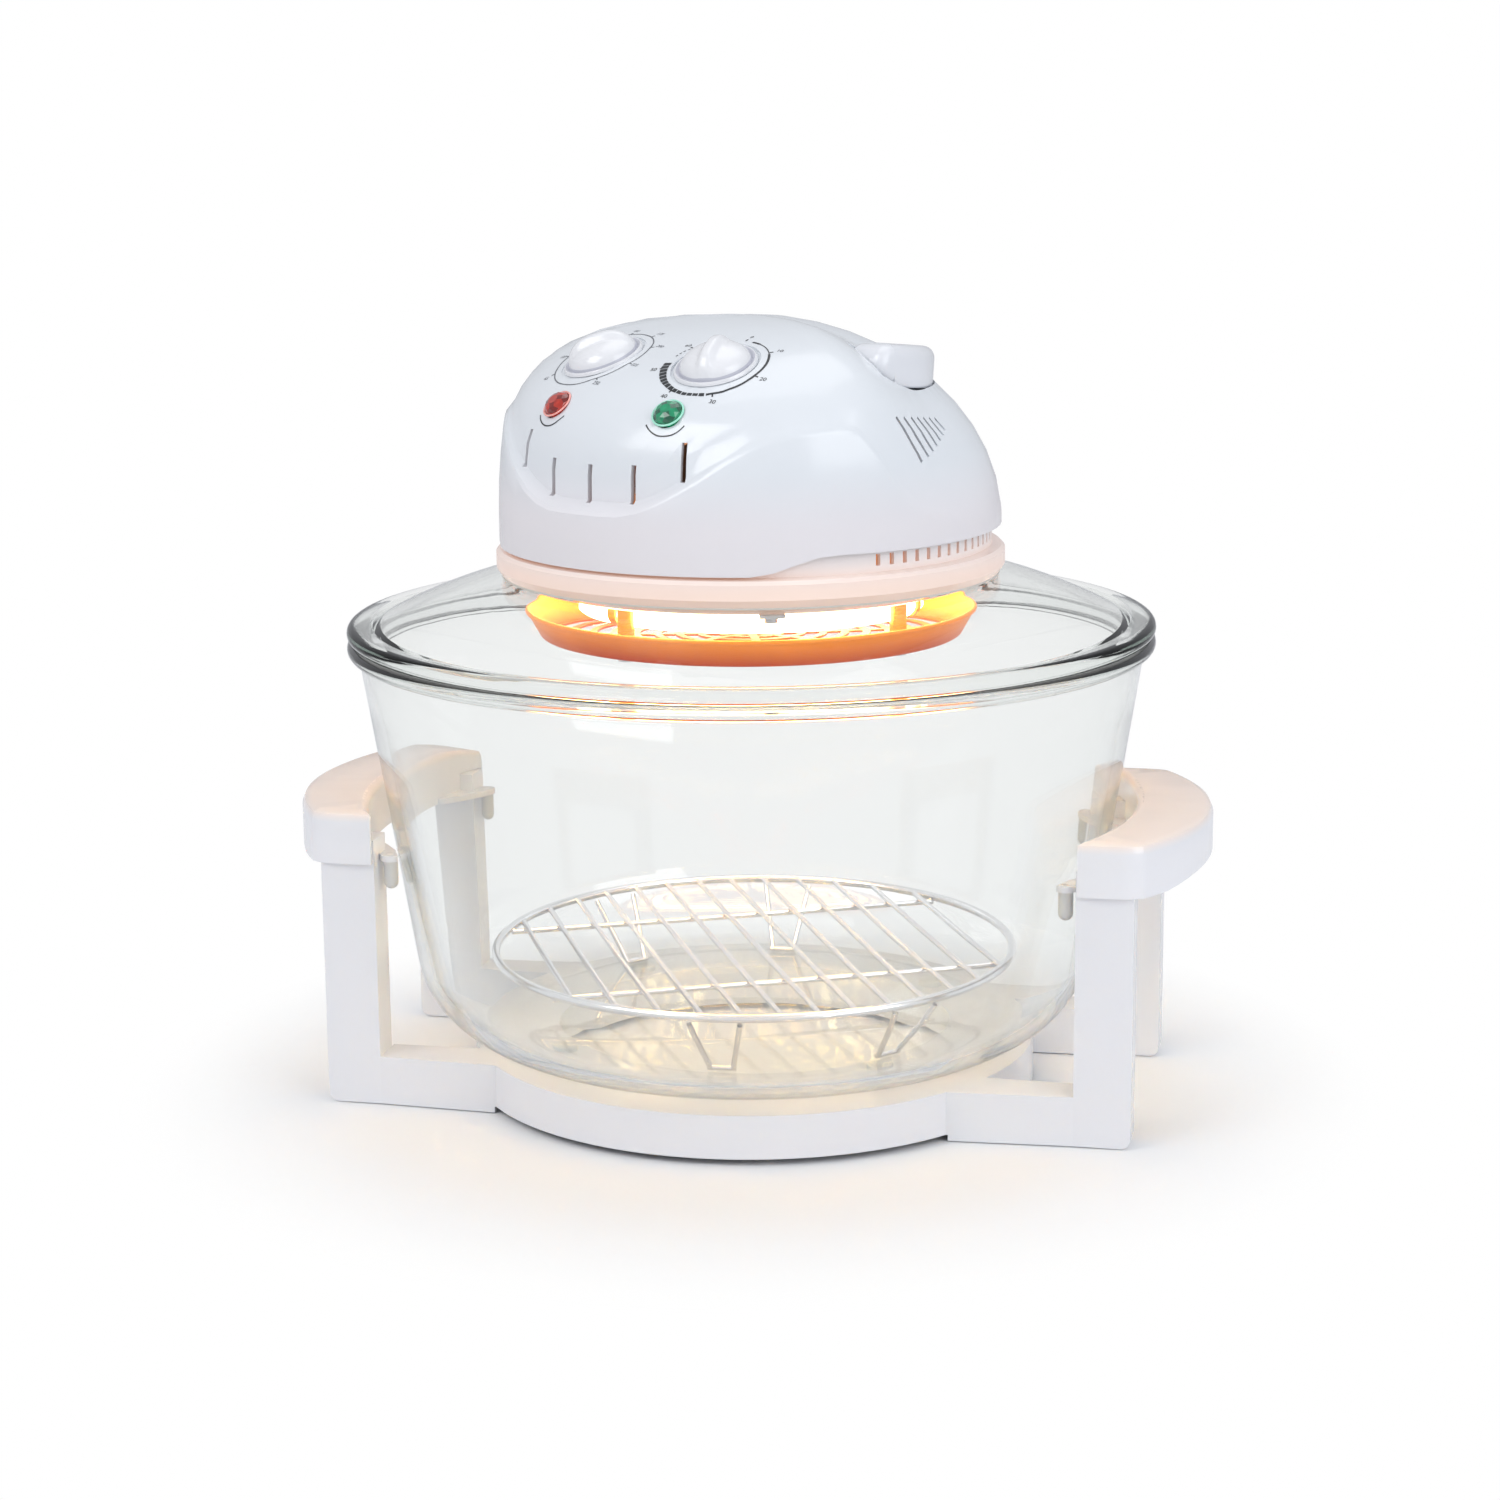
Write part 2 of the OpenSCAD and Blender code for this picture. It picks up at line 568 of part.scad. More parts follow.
// Places on the housing. Each frame's +Z is the outward normal.
dial_z = shell_top - 14.1;
lens_z = shell_top - 31.1;
module panel_frame(x, z) {
    translate([x, -panel_at(x, z), z]) rotate([0, 0, asin(x / panel_bow)]) rotate([panel_slope(z), 0, 0]) children();
}
module dial_frame(s) { panel_frame(s * dial_x, dial_z) children(); }
module lens_frame(s) { panel_frame(s * lens_x, lens_z) children(); }
dial_well = 1.6;
well_r = knob_r + 1.2;
inlet_r = 5;
inlet_z = shell_base + 20;

// Folding handle: a horseshoe band that turns on two pins at its front ends
bail_z = shell_top - bail_drop;
bail_in = bail_r - bail_w;
pocket_wall = 2.5;
switch_a = 18;
module bail_frame() { translate([0, 0, bail_z]) rotate([-bail_slope, 0, 0]) children(); }
module bail_space(grow, up) {
    w = bail_w + 2 * grow;
    h = bail_t / 2 + grow;
    rotate_extrude(angle = 180) translate([bail_in - grow, -h]) square([w, h * 2 + up]);
    mirrored_x() {
        translate([bail_in - grow, 0, 0]) rotate([0, 90, 0]) cylinder(r = h, h = w);
        translate([bail_in - grow, -h, 0]) cube([w, h + 1, h + up]);
    }
}
module finger_space(grow, up) {
    h = bail_t / 2 + grow;
    rotate(66 - grow) rotate_extrude(angle = 48 + 2 * grow) translate([bail_r - 2, 1 - h])
        square([12 + grow, h * 2 + up]);
}
module carry_handle() {
    round_out = 5;
    round_in = 2.5;
    h = bail_t / 2;
    color(white) rotate(head_turn) bail_frame() difference() {
        union() {
            rotate_extrude(angle = 180, $fn = 144) polygon(concat(arc(bail_r - round_out, h - round_out, round_out, 0, 90, 6),
                arc(bail_in + round_in, h - round_in, round_in, 90, 180, 4),
                arc(bail_in + 1.5, 1.5 - h, 1.5, 180, 270, 3), arc(bail_r - 1.5, 1.5 - h, 1.5, -90, 0, 3)));
            mirrored_x() translate([bail_in, 0, 0]) rotate([0, 90, 0]) rotate_extrude()
                polygon(concat([[0, 0]], arc(knuckle_r - round_in, round_in, round_in, -90, 0, 4),
                    arc(knuckle_r - round_out, bail_w - round_out, round_out, 0, 90, 6), [[0, bail_w]]));
        }
        // Hollow from below, with solid knuckles
        rotate([0, 0, 12]) rotate_extrude(angle = 156) translate([bail_in + 2.6, -h - 1]) square([bail_w - 5.2, bail_t - 4]);
        mirrored_x() translate([bail_in - 1, 0, 0]) rotate([0, 90, 0]) cylinder(r = bail_pin_r, h = 10);
    }
}
knuckle_r = bail_t / 2 - 0.15;
module handle_pins() {
    color(steel) rotate(head_turn) bail_frame() mirrored_x()
        translate([bail_in - pocket_wall - ease - 2, 0, 0]) rotate([0, 90, 0])
            cylinder(r = bail_pin_r, h = pocket_wall + ease + 2 + 8.8);
}
switch_x = (bail_r - bail_w / 2) * cos(switch_a);
switch_y = (bail_r - bail_w / 2) * sin(switch_a);
plunger_r = 1.5;
plunger_top = bail_z - switch_y * tan(bail_slope) - bail_t / 2 / cos(bail_slope) - seat;
switch_top = plunger_top - 5;

module housing() {
    color(white) rotate(head_turn) difference() {
        union() {
            // The cavity stops short of the handle's recess, which leaves the recess its walls
            difference() {
                skin(72, 0, shell_base - 0.5, 20);
                difference() {
                    skin(40, shell_wall, shell_base - 9);
                    bail_frame() { bail_space(ease + pocket_wall, 30); finger_space(ease + pocket_wall, 30); }
                }
            }
            for (s = [-1, 1]) dial_frame(s) translate([0, 0, -dial_well - 3.6]) cylinder(r = well_r + 1.4, h = 2.6);
            for (a = boss_angles) rotate(a) {
                translate([boss_rad, 0, deck_z + 8]) cylinder(r = 4.5, h = 12);
                translate([boss_rad, -1.2, vent_top + 0.6]) cube([skirt_edge_r - boss_rad, 2.4, deck_z + 19.4 - vent_top]);
            }
            translate([0, shell_r - 3.5, inlet_z]) rotate([90, 0, 0]) cylinder(r = inlet_r + 4, h = 6);
        }
        bail_frame() { bail_space(ease, 40); finger_space(ease, 40);
            mirrored_x() translate([bail_in - pocket_wall - ease - 4, 0, 0]) rotate([0, 90, 0])
                cylinder(r = bail_pin_r + run, h = 8); }
        // Dials: a shallow well and a bore for the shaft
        for (s = [-1, 1]) dial_frame(s) {
            translate([0, 0, -dial_well]) cylinder(r = well_r, h = 12);
            translate([0, 0, -12]) cylinder(r = dial_shaft_r + 1.2, h = 14);
        }
        for (s = [-1, 1]) lens_frame(s) translate([0, 0, -14]) cylinder(r = lens_r + 0.1, h = 24);
        // Five air slots under the panel
        for (i = [-2 : 2]) rotate(i * 12.6) translate([-slot_w / 2, -panel_r - 6, crease_z(abs(i * 12.6)) + 1])
            cube([slot_w, 22, slot_h]);
        // Slanting louvres on each flank, shorter towards the back
        mirrored_x() for (i = [0 : 6]) rotate(78 + 3.4 * i) translate([0, -shell_r - 4, shell_base + 58 - i * 0.6])
            rotate([0, -26, 0]) translate([-0.7, 0, -(20 - 2.4 * i)]) cube([1.4, 40, 20 - 2.4 * i]);
        for (a = boss_angles) rotate(a) translate([boss_rad, 0, deck_z + 7]) cylinder(r = 1.5, h = 11);
        translate([0, shell_r + 4, inlet_z]) rotate([90, 0, 0]) cylinder(r = inlet_r + 2.1, h = 18);
        translate([switch_x, switch_y, switch_top - 2]) cylinder(r = plunger_r + 0.2, h = 20);
    }
}
skirt_edge_r = shell_r - 1.5;
dial_shaft_r = 3;
module housing_screws() {
    color(steel) rotate(head_turn) for (a = boss_angles) rotate(a)
        translate([boss_rad, 0, deck_z - 2]) screw(3.2, 1.45, 16);
}
module safety_switch() {
    color([0.2, 0.2, 0.22]) rotate(head_turn) difference() {
        translate([switch_x - 10, switch_y - 4, switch_top - 14]) cube([20, 8, 14 - 0.2]);
        translate([switch_x, switch_y, switch_top - 8]) cylinder(r = plunger_r + run, h = 20);
    }
}
module switch_plunger() {
    color([0.85, 0.3, 0.25]) rotate(head_turn) translate([switch_x, switch_y, switch_top - 6])
        cylinder(r = plunger_r, h = plunger_top - switch_top + 6);
}

// Dials
module knob(grip_turn) {
    round_k = 1.2;
    difference() {
        union() {
            rotate_extrude() polygon(concat([[0, 0], [knob_r, 0]],
                arc(knob_r - round_k, knob_h - round_k, round_k, 0, 90, 4), [[0, knob_h + 1.2]]));
            // Grip bar with a tapered pointer end
            rotate(grip_turn) intersection() {
                hull() {
                    translate([0, 0, knob_h - 0.5]) linear_extrude(0.5)
                        square([9.5, 2 * knob_r - 3], center = true);
                    translate([0, 0, knob_h + knob_grip_h - 1.5]) linear_extrude(0.5)
                        square([6.4, 2 * knob_r - 8], center = true);
                    translate([0, 0, knob_h + knob_grip_h - 0.2]) linear_extrude(0.2)
                        square([4, 2 * knob_r - 11], center = true);
                }
                cylinder(r = knob_r - 1, h = 40);
            }
        }
        translate([0, 0, -1]) cylinder(r = dial_shaft_r, h = knob_h + 3);
    }
}
module dial_shaft() { translate([0, 0, -dial_well - 16]) cylinder(r = dial_shaft_r, h = 16 + knob_h + 2); }
module thermostat_knob() { color(white) rotate(head_turn) dial_frame(-1) translate([0, 0, -dial_well + seat]) knob(-40); }
module timer_knob() { color(white) rotate(head_turn) dial_frame(1) translate([0, 0, -dial_well + seat]) knob(8); }
module thermostat_shaft() { color(steel) rotate(head_turn) dial_frame(-1) dial_shaft(); }
module timer_shaft() { color(steel) rotate(head_turn) dial_frame(1) dial_shaft(); }
module control_body(w, depth) {
    back = -dial_well - 3.6;
    difference() {
        union() {
            translate([-w / 2, -w / 2, back - 1 - depth]) cube([w, w, depth]);
            translate([0, 0, back - 1 - eps]) cylinder(r = 6.5, h = 1 + eps);
        }
        translate([0, 0, -dial_well - 17]) cylinder(r = dial_shaft_r + run, h = 20);
    }
}
module thermostat() { color([0.3, 0.3, 0.32]) rotate(head_turn) dial_frame(-1) control_body(30, 18); }
module timer() { color([0.85, 0.85, 0.82]) rotate(head_turn) dial_frame(1) control_body(32, 22); }
module lens() {
    translate([0, 0, -7]) cylinder(r = lens_r, h = 8);
    translate([0, 0, 1 - eps]) cylinder(r1 = lens_r, r2 = lens_r * 0.55, h = 2, $fn = 8);
}
module power_lens() { color([0.75, 0.1, 0.05]) rotate(head_turn) lens_frame(-1) lens(); }
module heat_lens() { color([0.02, 0.55, 0.25]) rotate(head_turn) lens_frame(1) lens(); }
module indicator_lamps() {
    color([0.9, 0.6, 0.3]) rotate(head_turn) for (s = [-1, 1]) lens_frame(s) {
        translate([0, 0, -15]) cylinder(r = lens_r - 1.6, h = 8);
        translate([0, 0, -17]) cylinder(r = 2.5, h = 2 + eps);
    }
}

// Motor and fans on one shaft
guard_z = lid_top - 26;
lamp_z = guard_z + 15.5;
motor_z = deck_z + deck_t + 26;
hot_fan_z = lamp_z - 4;
cool_fan_z = deck_z + deck_t + 4;
rotor_r = 12.5;
shield_r = 84;
module fan(r, hub, h, pitch) {
    cylinder(r = hub, h = h);
    for (i = [0 : fan_blades - 1]) rotate(i * 360 / fan_blades) intersection() {
        translate([hub - 1, 0, h / 2]) rotate([pitch, 0, 0]) translate([0, -h * 0.75, -0.5])
            cube([r - hub + 1, h * 1.5, 1]);
        cylinder(r = r, h = h);
    }
}
module fan_bore(h) { translate([0, 0, -1]) cylinder(r = shaft_r, h = h + 2); }
module fan_shaft() {
    color(steel) rotate(head_turn) {
        translate([0, 0, hot_fan_z - 2]) cylinder(r = shaft_r, h = motor_z + motor_h + 12 - hot_fan_z + 2);
        translate([0, 0, motor_z + 2]) cylinder(r = rotor_r, h = motor_h - 4);
    }
}
module hot_air_fan() {
    color(steel) rotate(head_turn) translate([0, 0, hot_fan_z]) difference() { fan(fan_r, 9, 9, 38); fan_bore(9); }
}
module cooling_fan() {
    color([0.6, 0.6, 0.62]) rotate(head_turn) translate([0, 0, cool_fan_z]) difference() { fan(motor_post_rad - 10, 9, 10, 40); fan_bore(10); }
}
// The core's outer leg carries the coil. Both sit at 45 degrees to the brackets.
core_turn = 135;
core_leg = 7;
core_out = motor_w / 2 + 6;
coil_window = motor_w - 22;
coil_l = coil_window - 4;
coil_t = 2.2;
coil_gap = 0.2;
module motor_core() {
    color([0.45, 0.46, 0.48]) rotate(head_turn + core_turn) translate([0, 0, motor_z]) difference() {
        translate([-motor_w / 2, core_out - motor_w, 0]) cube([motor_w, motor_w, motor_h]);
        translate([0, 0, -1]) cylinder(r = rotor_r + 0.5, h = motor_h + 2);
        translate([-coil_window / 2, core_out - core_leg - 9, -1]) cube([coil_window, 9, motor_h + 2]);
    }
}
module motor_coil() {
    hole_y = core_leg + 2 * coil_gap;
    hole_z = motor_h + 2 * coil_gap;
    color([0.72, 0.38, 0.16]) rotate(head_turn + core_turn)
        translate([0, core_out - core_leg / 2, motor_z + motor_h / 2]) difference() {
            cube([coil_l, hole_y + 2 * coil_t, hole_z + 2 * coil_t], center = true);
            cube([coil_l + 2, hole_y, hole_z], center = true);
        }
}
module motor_brackets() {
    plate = 1.6;
    color(steel) rotate(head_turn) difference() {
        union() {
            translate([0, 0, motor_z - plate]) {
                for (a = [0, 90]) rotate(a) translate([-motor_post_rad - 5, -6, 0]) cube([2 * motor_post_rad + 10, 12, plate]);
            }
            translate([0, 0, motor_z - plate - 5]) cylinder(r = 7, h = 5 + eps);
            translate([-motor_w / 2, -6, motor_z + motor_h]) cube([motor_w, 12, plate]);
            translate([0, 0, motor_z + motor_h + plate - eps]) cylinder(r = 7, h = 6);
        }
        translate([0, 0, motor_z - 10]) cylinder(r = shaft_r + run, h = motor_h + 30);
        for (a = [0 : 90 : 270]) rotate(a) translate([motor_post_rad, 0, motor_z - 5]) cylinder(r = 1.6, h = 8);
    }
}
module motor_posts() {
    color(steel) rotate(head_turn) for (a = [0 : 90 : 270]) rotate(a) translate([motor_post_rad, 0, 0]) {
        translate([0, 0, deck_z + deck_t]) cylinder(r = 3.4, h = motor_z - 1.6 - deck_z - deck_t, $fn = 6);
        translate([0, 0, deck_z - 1 + eps]) cylinder(r = 1.5, h = deck_t + 2);
        translate([0, 0, motor_z - 1.7]) cylinder(r = 1.5, h = 2);
        translate([0, 0, motor_z]) cylinder(r = 3, h = 2, $fn = 6);
    }
}

// Hot side: shield, insulation, reflector, lamp and guard
shield_t = 1;
reflector_t = 1;
insulation_t = 7;
shield_z = deck_z - 1 - shield_t;
reflector_z = shield_z - insulation_t - reflector_t;
lamp_gap = 12;
lamp_lead_x = lamp_gap / 2 + 3.8;
lamp_lead_y = sqrt(lamp_r * lamp_r - lamp_lead_x * lamp_lead_x);
module lamp_leads() { mirrored_x() translate([lamp_lead_x, lamp_lead_y, 0]) children(); }
module disc_holes(z, h) {
    translate([0, 0, z - 1]) cylinder(r = shaft_r + 2, h = h + 2);
    for (a = [0 : 90 : 270]) rotate(a) translate([pillar_rad, 0, z - 1]) cylinder(r = 2, h = h + 2);
}
module heat_shield() {
    color(steel) rotate(head_turn) difference() {
        translate([0, 0, shield_z]) cylinder(r = shield_r, h = shield_t);
        disc_holes(shield_z, shield_t);
        lamp_leads() translate([0, 0, shield_z - 1]) cylinder(r = 3, h = 4);
    }
}
module insulation_disc() {
    color([0.86, 0.84, 0.78]) rotate(head_turn) difference() {
        translate([0, 0, shield_z - insulation_t]) cylinder(r = shield_r - 1, h = insulation_t);
        disc_holes(shield_z - insulation_t, insulation_t);
        lamp_leads() translate([0, 0, shield_z - 20]) cylinder(r = 3.4, h = 30);
    }
}
module reflector() {
    out_r = spigot_r - 6.6;
    low = reflector_z - 7;
    color(steel) rotate(head_turn) difference() {
        rotate_extrude($fn = 180) polygon([[shaft_r + 2, reflector_z], [pillar_rad + 5, reflector_z],
            [out_r - 0.8, low], [out_r, low], [pillar_rad + 5.5, reflector_z + reflector_t],
            [shaft_r + 2, reflector_z + reflector_t]]);
        disc_holes(reflector_z, reflector_t);
        lamp_leads() translate([0, 0, reflector_z - 2]) cylinder(r = 5.2, h = 6);
    }
}
module halogen_lamp() {
    color([1, 0.9, 0.6]) rotate(head_turn) translate([0, 0, lamp_z]) {
        difference() {
            rotate_extrude() translate([lamp_r, 0]) circle(r = lamp_tube_r, $fn = 32);
            translate([0, lamp_r, 0]) cube([lamp_gap, 4 * lamp_tube_r, 4 * lamp_tube_r], center = true);
        }
        lamp_leads() cylinder(r = 3.4, h = reflector_z - lamp_z - 1);
    }
}
module lamp_ends() {
    color([0.95, 0.94, 0.9]) rotate(head_turn) lamp_leads() {
        translate([0, 0, reflector_z - 1 + eps]) cylinder(r = 5, h = reflector_t + 1 - 2 * eps);
        translate([0, 0, reflector_z]) cylinder(r = 3.2, h = reflector_t + insulation_t);
        translate([0, 0, shield_z - 1]) cylinder(r = 2.8, h = 7);
    }
}
module lamp_clips() {
    color(steel) rotate(head_turn) for (a = [20 : 120 : 260]) rotate(a) translate([lamp_r, 0, 0]) difference() {
        union() {
            translate([0, 0, lamp_z]) rotate([90, 0, 0]) cylinder(r = lamp_tube_r + 1, h = 5, center = true);
            translate([-0.6, -2.5, lamp_z + lamp_tube_r]) cube([1.2, 5, reflector_z - lamp_z - lamp_tube_r]);
        }
        rotate(90) translate([0, lamp_r, lamp_z]) rotate_extrude() translate([lamp_r, 0])
            circle(r = lamp_tube_r + 0.02, $fn = 32);
        translate([-3.2, -4, lamp_z - 12]) cube([6.4, 8, 12]);
    }
}
guard_floor_r = guard_r - 5.5;
module heater_guard() {
    wall = 1;
    color([0.8, 0.5, 0.25]) rotate(head_turn) {
        rotate_extrude($fn = 180) polygon(concat([[guard_floor_r - 4, guard_z], [guard_floor_r - 2, guard_z]],
            arc(guard_floor_r - 2, guard_z + 2, 2, -90, -20, 4),
            [[guard_r - 1.2, guard_z + guard_h - 2]], arc(guard_r - 1, guard_z + guard_h - 1, 1, -60, 150, 6),
            [[guard_floor_r - 1.2, guard_z + 2.4], [guard_floor_r - 2, guard_z + wall], [guard_floor_r - 4, guard_z + wall]]));
        // Grille in the floor: rings on spokes, with pads for the pillars
        translate([0, 0, guard_z]) difference() {
            linear_extrude(wall) {
                for (i = [0 : 8]) let (r = 12 + i * 9) difference() { circle(r = r + 1.6); circle(r = r - 1.6); }
                circle(r = 6);
                for (a = [0 : 45 : 315]) rotate(a) translate([0, -1.8]) square([guard_floor_r - 3, 3.6]);
                for (a = [0 : 90 : 270]) rotate(a) translate([pillar_rad, 0]) circle(r = 6.5);
            }
            for (a = [0 : 90 : 270]) rotate(a) translate([pillar_rad, 0, -1]) cylinder(r = 1.6, h = wall + 2);
        }
    }
}
module guard_pillars() {
    color([0.8, 0.6, 0.35]) rotate(head_turn) for (a = [0 : 90 : 270]) rotate(a) translate([pillar_rad, 0, 0]) difference() {
        union() {
            translate([0, 0, guard_z + 1]) cylinder(r = 3.4, h = reflector_z - guard_z - 1);
            translate([0, 0, reflector_z - eps]) cylinder(r = 1.8, h = deck_z + deck_t + 1 - reflector_z);
            translate([0, 0, deck_z + deck_t]) cylinder(r = 3.4, h = 2.4, $fn = 6);
        }
        translate([0, 0, guard_z - 1]) cylinder(r = 1.5, h = 10);
    }
}
module guard_screws() {
    color(steel) rotate(head_turn) for (a = [0 : 90 : 270]) rotate(a) translate([pillar_rad, 0, guard_z - 2])
        screw(3.4, 1.45, 8);
}
module thermal_cutout() {
    color([0.25, 0.25, 0.27]) rotate(head_turn) rotate(215) translate([66, 0, deck_z + deck_t]) {
        cylinder(r = 7, h = 7);
        for (s = [-1, 1]) translate([s * 3.5 - 1.5, -0.4, 7 - eps]) cube([3, 0.8, 6]);
    }
}
module terminal_block() {
    color([0.9, 0.88, 0.8]) rotate(head_turn + 25) translate([-16, 70, deck_z + deck_t]) difference() {
        cube([32, 12, 12]);
        for (i = [0 : 2]) translate([6 + i * 10, 6, 4]) cylinder(r = 2.2, h = 12);
    }
}
module cord_inlet() {
    color([0.9, 0.9, 0.92]) rotate(head_turn) translate([0, 0, inlet_z]) rotate([-90, 0, 0]) difference() {
        union() {
            translate([0, 0, shell_r - 14]) cylinder(r = inlet_r + 2, h = 20);
            translate([0, 0, shell_r + 0.6]) cylinder(r1 = inlet_r + 4, r2 = inlet_r + 2.6, h = 6);
        }
        translate([0, 0, shell_r - 20]) cylinder(r = inlet_r - 1.2, h = 40);
    }
}

base_frame();
post_front_left();
post_front_right();
post_rear_left();
post_rear_right();
left_grip();
right_grip();
stand_screws();
foot_pads();
bowl_pads();
bowl_bumpers();
glass_bowl();
rack_grid();
rack_feet();
glass_lid();
lid_gasket();
collar();
lid_clamps();
clamp_screws();
housing();
housing_screws();
carry_handle();
handle_pins();
safety_switch();
switch_plunger();
thermostat_knob();
timer_knob();
thermostat();
timer();
thermostat_shaft();
timer_shaft();
power_lens();
heat_lens();
indicator_lamps();
fan_shaft();
cooling_fan();
hot_air_fan();
motor_core();
motor_coil();
motor_brackets();
motor_posts();
heat_shield();
insulation_disc();
reflector();
halogen_lamp();
lamp_ends();
lamp_clips();
heater_guard();
guard_pillars();
guard_screws();
thermal_cutout();
terminal_block();
cord_inlet();
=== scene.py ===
"""Looks of a countertop halogen oven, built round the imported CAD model.

Metres, +Z up, origin on the floor under the middle of the stand. The lid and its heater head are
turned HEAD_TURN about Z, and sizes of the head are given in the head's own frame, whose front is -Y.
"""

import logging
import math
from collections.abc import Sequence
from dataclasses import dataclass, field
from enum import Enum

import bpy
from mathutils import Matrix, Vector
from mathutils.bvhtree import BVHTree


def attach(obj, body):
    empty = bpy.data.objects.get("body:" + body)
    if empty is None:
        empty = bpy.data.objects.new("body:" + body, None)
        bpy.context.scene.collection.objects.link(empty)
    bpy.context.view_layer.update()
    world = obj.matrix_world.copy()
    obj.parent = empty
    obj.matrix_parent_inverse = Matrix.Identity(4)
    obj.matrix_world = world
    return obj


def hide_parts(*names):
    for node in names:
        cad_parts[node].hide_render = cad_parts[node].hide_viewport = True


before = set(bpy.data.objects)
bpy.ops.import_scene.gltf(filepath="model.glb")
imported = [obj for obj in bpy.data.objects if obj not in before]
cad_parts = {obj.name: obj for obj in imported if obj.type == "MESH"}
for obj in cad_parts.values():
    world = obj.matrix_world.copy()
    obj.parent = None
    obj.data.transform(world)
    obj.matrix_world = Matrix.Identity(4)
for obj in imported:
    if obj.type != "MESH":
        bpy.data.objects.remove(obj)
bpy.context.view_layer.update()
LOG = logging.getLogger("halogen_oven")

Color = tuple[float, float, float]
Point2 = tuple[float, float]
Point3 = tuple[float, float, float]
Face = tuple[int, ...]
Node = bpy.types.Node
Socket = bpy.types.NodeSocket
Tree = bpy.types.NodeTree
Material = bpy.types.Material
Piece = bpy.types.Object

# Lengths in metres, angles in radians.
MM = 0.001
HEAD_TURN = math.radians(-28.0)
LEFT, RIGHT = -1, 1  # X sign of a side, in the head's frame.
WELD_REACH = 0.000004
SHARP_ANGLE = math.radians(28.0)
FINE_BUMP = 0.00002
FINE_GRAIN = 1400.0
COAT_ROUGHNESS = 0.06
PLASTIC_IOR = 1.5
NOISE_LOW, NOISE_HIGH = 0.35, 0.65  # Most of a noise texture's values lie between these.
BLACK: Color = (0.0, 0.0, 0.0)
WHITE: Color = (1.0, 1.0, 1.0)
GLASS_SHADOW: Color = (0.97, 0.98, 0.975)


def head_matrix() -> Matrix:
    """The head's frame in the row frame."""
    return Matrix.Rotation(HEAD_TURN, 4, "Z")


# Shared shader groups

class Group(Enum):
    """Shader effects that several finishes use."""

    GRAIN = "fine_grain"
    TINT = "soft_tint"
    HEAT = "painted_light_by_height"
    BRUSH = "brushed_lines"


def new_group(kind: Group, inputs: Sequence[tuple[str, str, object]],
              outputs: Sequence[tuple[str, str]]) -> tuple[Tree, Node, Node]:
    """Makes an empty shader group with named sockets.

    Args:
        kind: which effect the group holds; its value names the group.
        inputs: name, socket type and default of each input.
        outputs: name and socket type of each output.

    Returns:
        The group, its input node and its output node.
    """
    tree = bpy.data.node_groups.new(kind.value, "ShaderNodeTree")
    for name, socket, default in inputs:
        made = tree.interface.new_socket(name=name, in_out="INPUT", socket_type=socket)
        made.default_value = default
    for name, socket in outputs:
        tree.interface.new_socket(name=name, in_out="OUTPUT", socket_type=socket)
    return tree, tree.nodes.new("NodeGroupInput"), tree.nodes.new("NodeGroupOutput")


def set_inputs(node: Node, **values: object) -> None:
    """Sets a node's inputs by name; an underscore stands for a space."""
    for name, value in values.items():
        node.inputs[name.replace("_", " ")].default_value = value


def object_noise(tree: Tree, detail: float) -> Node:
    """A noise node on object coordinates, with that detail."""
    where = tree.nodes.new("ShaderNodeTexCoord")
    noise = tree.nodes.new("ShaderNodeTexNoise")
    noise.inputs["Detail"].default_value = detail
    tree.links.new(where.outputs["Object"], noise.inputs["Vector"])
    return noise


def mix_tones(tree: Tree, amount: Socket, first: Socket,
              second: Socket) -> Socket:
    """Mixes two colours by an amount and returns the mixed colour."""
    link = tree.links.new
    mix = tree.nodes.new("ShaderNodeMix")
    mix.data_type = "RGBA"
    link(amount, mix.inputs["Factor"])
    link(first, mix.inputs["A"])
    link(second, mix.inputs["B"])
    return mix.outputs["Result"]


def mix_shaders(tree: Tree, amount: Socket, first: Socket,
                second: Socket, target: Socket) -> None:
    """Mixes two shaders by an amount into a material's or world's output."""
    link = tree.links.new
    mix = tree.nodes.new("ShaderNodeMixShader")
    link(amount, mix.inputs["Fac"])
    link(first, mix.inputs[1])
    link(second, mix.inputs[2])
    link(mix.outputs["Shader"], target)


def build_grain() -> Tree:
    """Fine uneven surface: a height for a bump, and a roughness that drifts between two values."""
    tree, into, out = new_group(
        Group.GRAIN,
        [("Scale", "NodeSocketFloat", 900.0), ("Smooth", "NodeSocketFloat", 0.2),
         ("Rough", "NodeSocketFloat", 0.3)],
        [("Height", "NodeSocketFloat"), ("Roughness", "NodeSocketFloat")])
    link = tree.links.new
    fine = object_noise(tree, 4.0)
    link(into.outputs["Scale"], fine.inputs["Scale"])
    broad = object_noise(tree, 2.0)
    broad.inputs["Scale"].default_value = 22.0
    spread = tree.nodes.new("ShaderNodeMapRange")
    link(broad.outputs["Fac"], spread.inputs["Value"])
    set_inputs(spread, From_Min=NOISE_LOW, From_Max=NOISE_HIGH)
    link(into.outputs["Smooth"], spread.inputs["To Min"])
    link(into.outputs["Rough"], spread.inputs["To Max"])
    link(fine.outputs["Fac"], out.inputs["Height"])
    link(spread.outputs["Result"], out.inputs["Roughness"])
    return tree


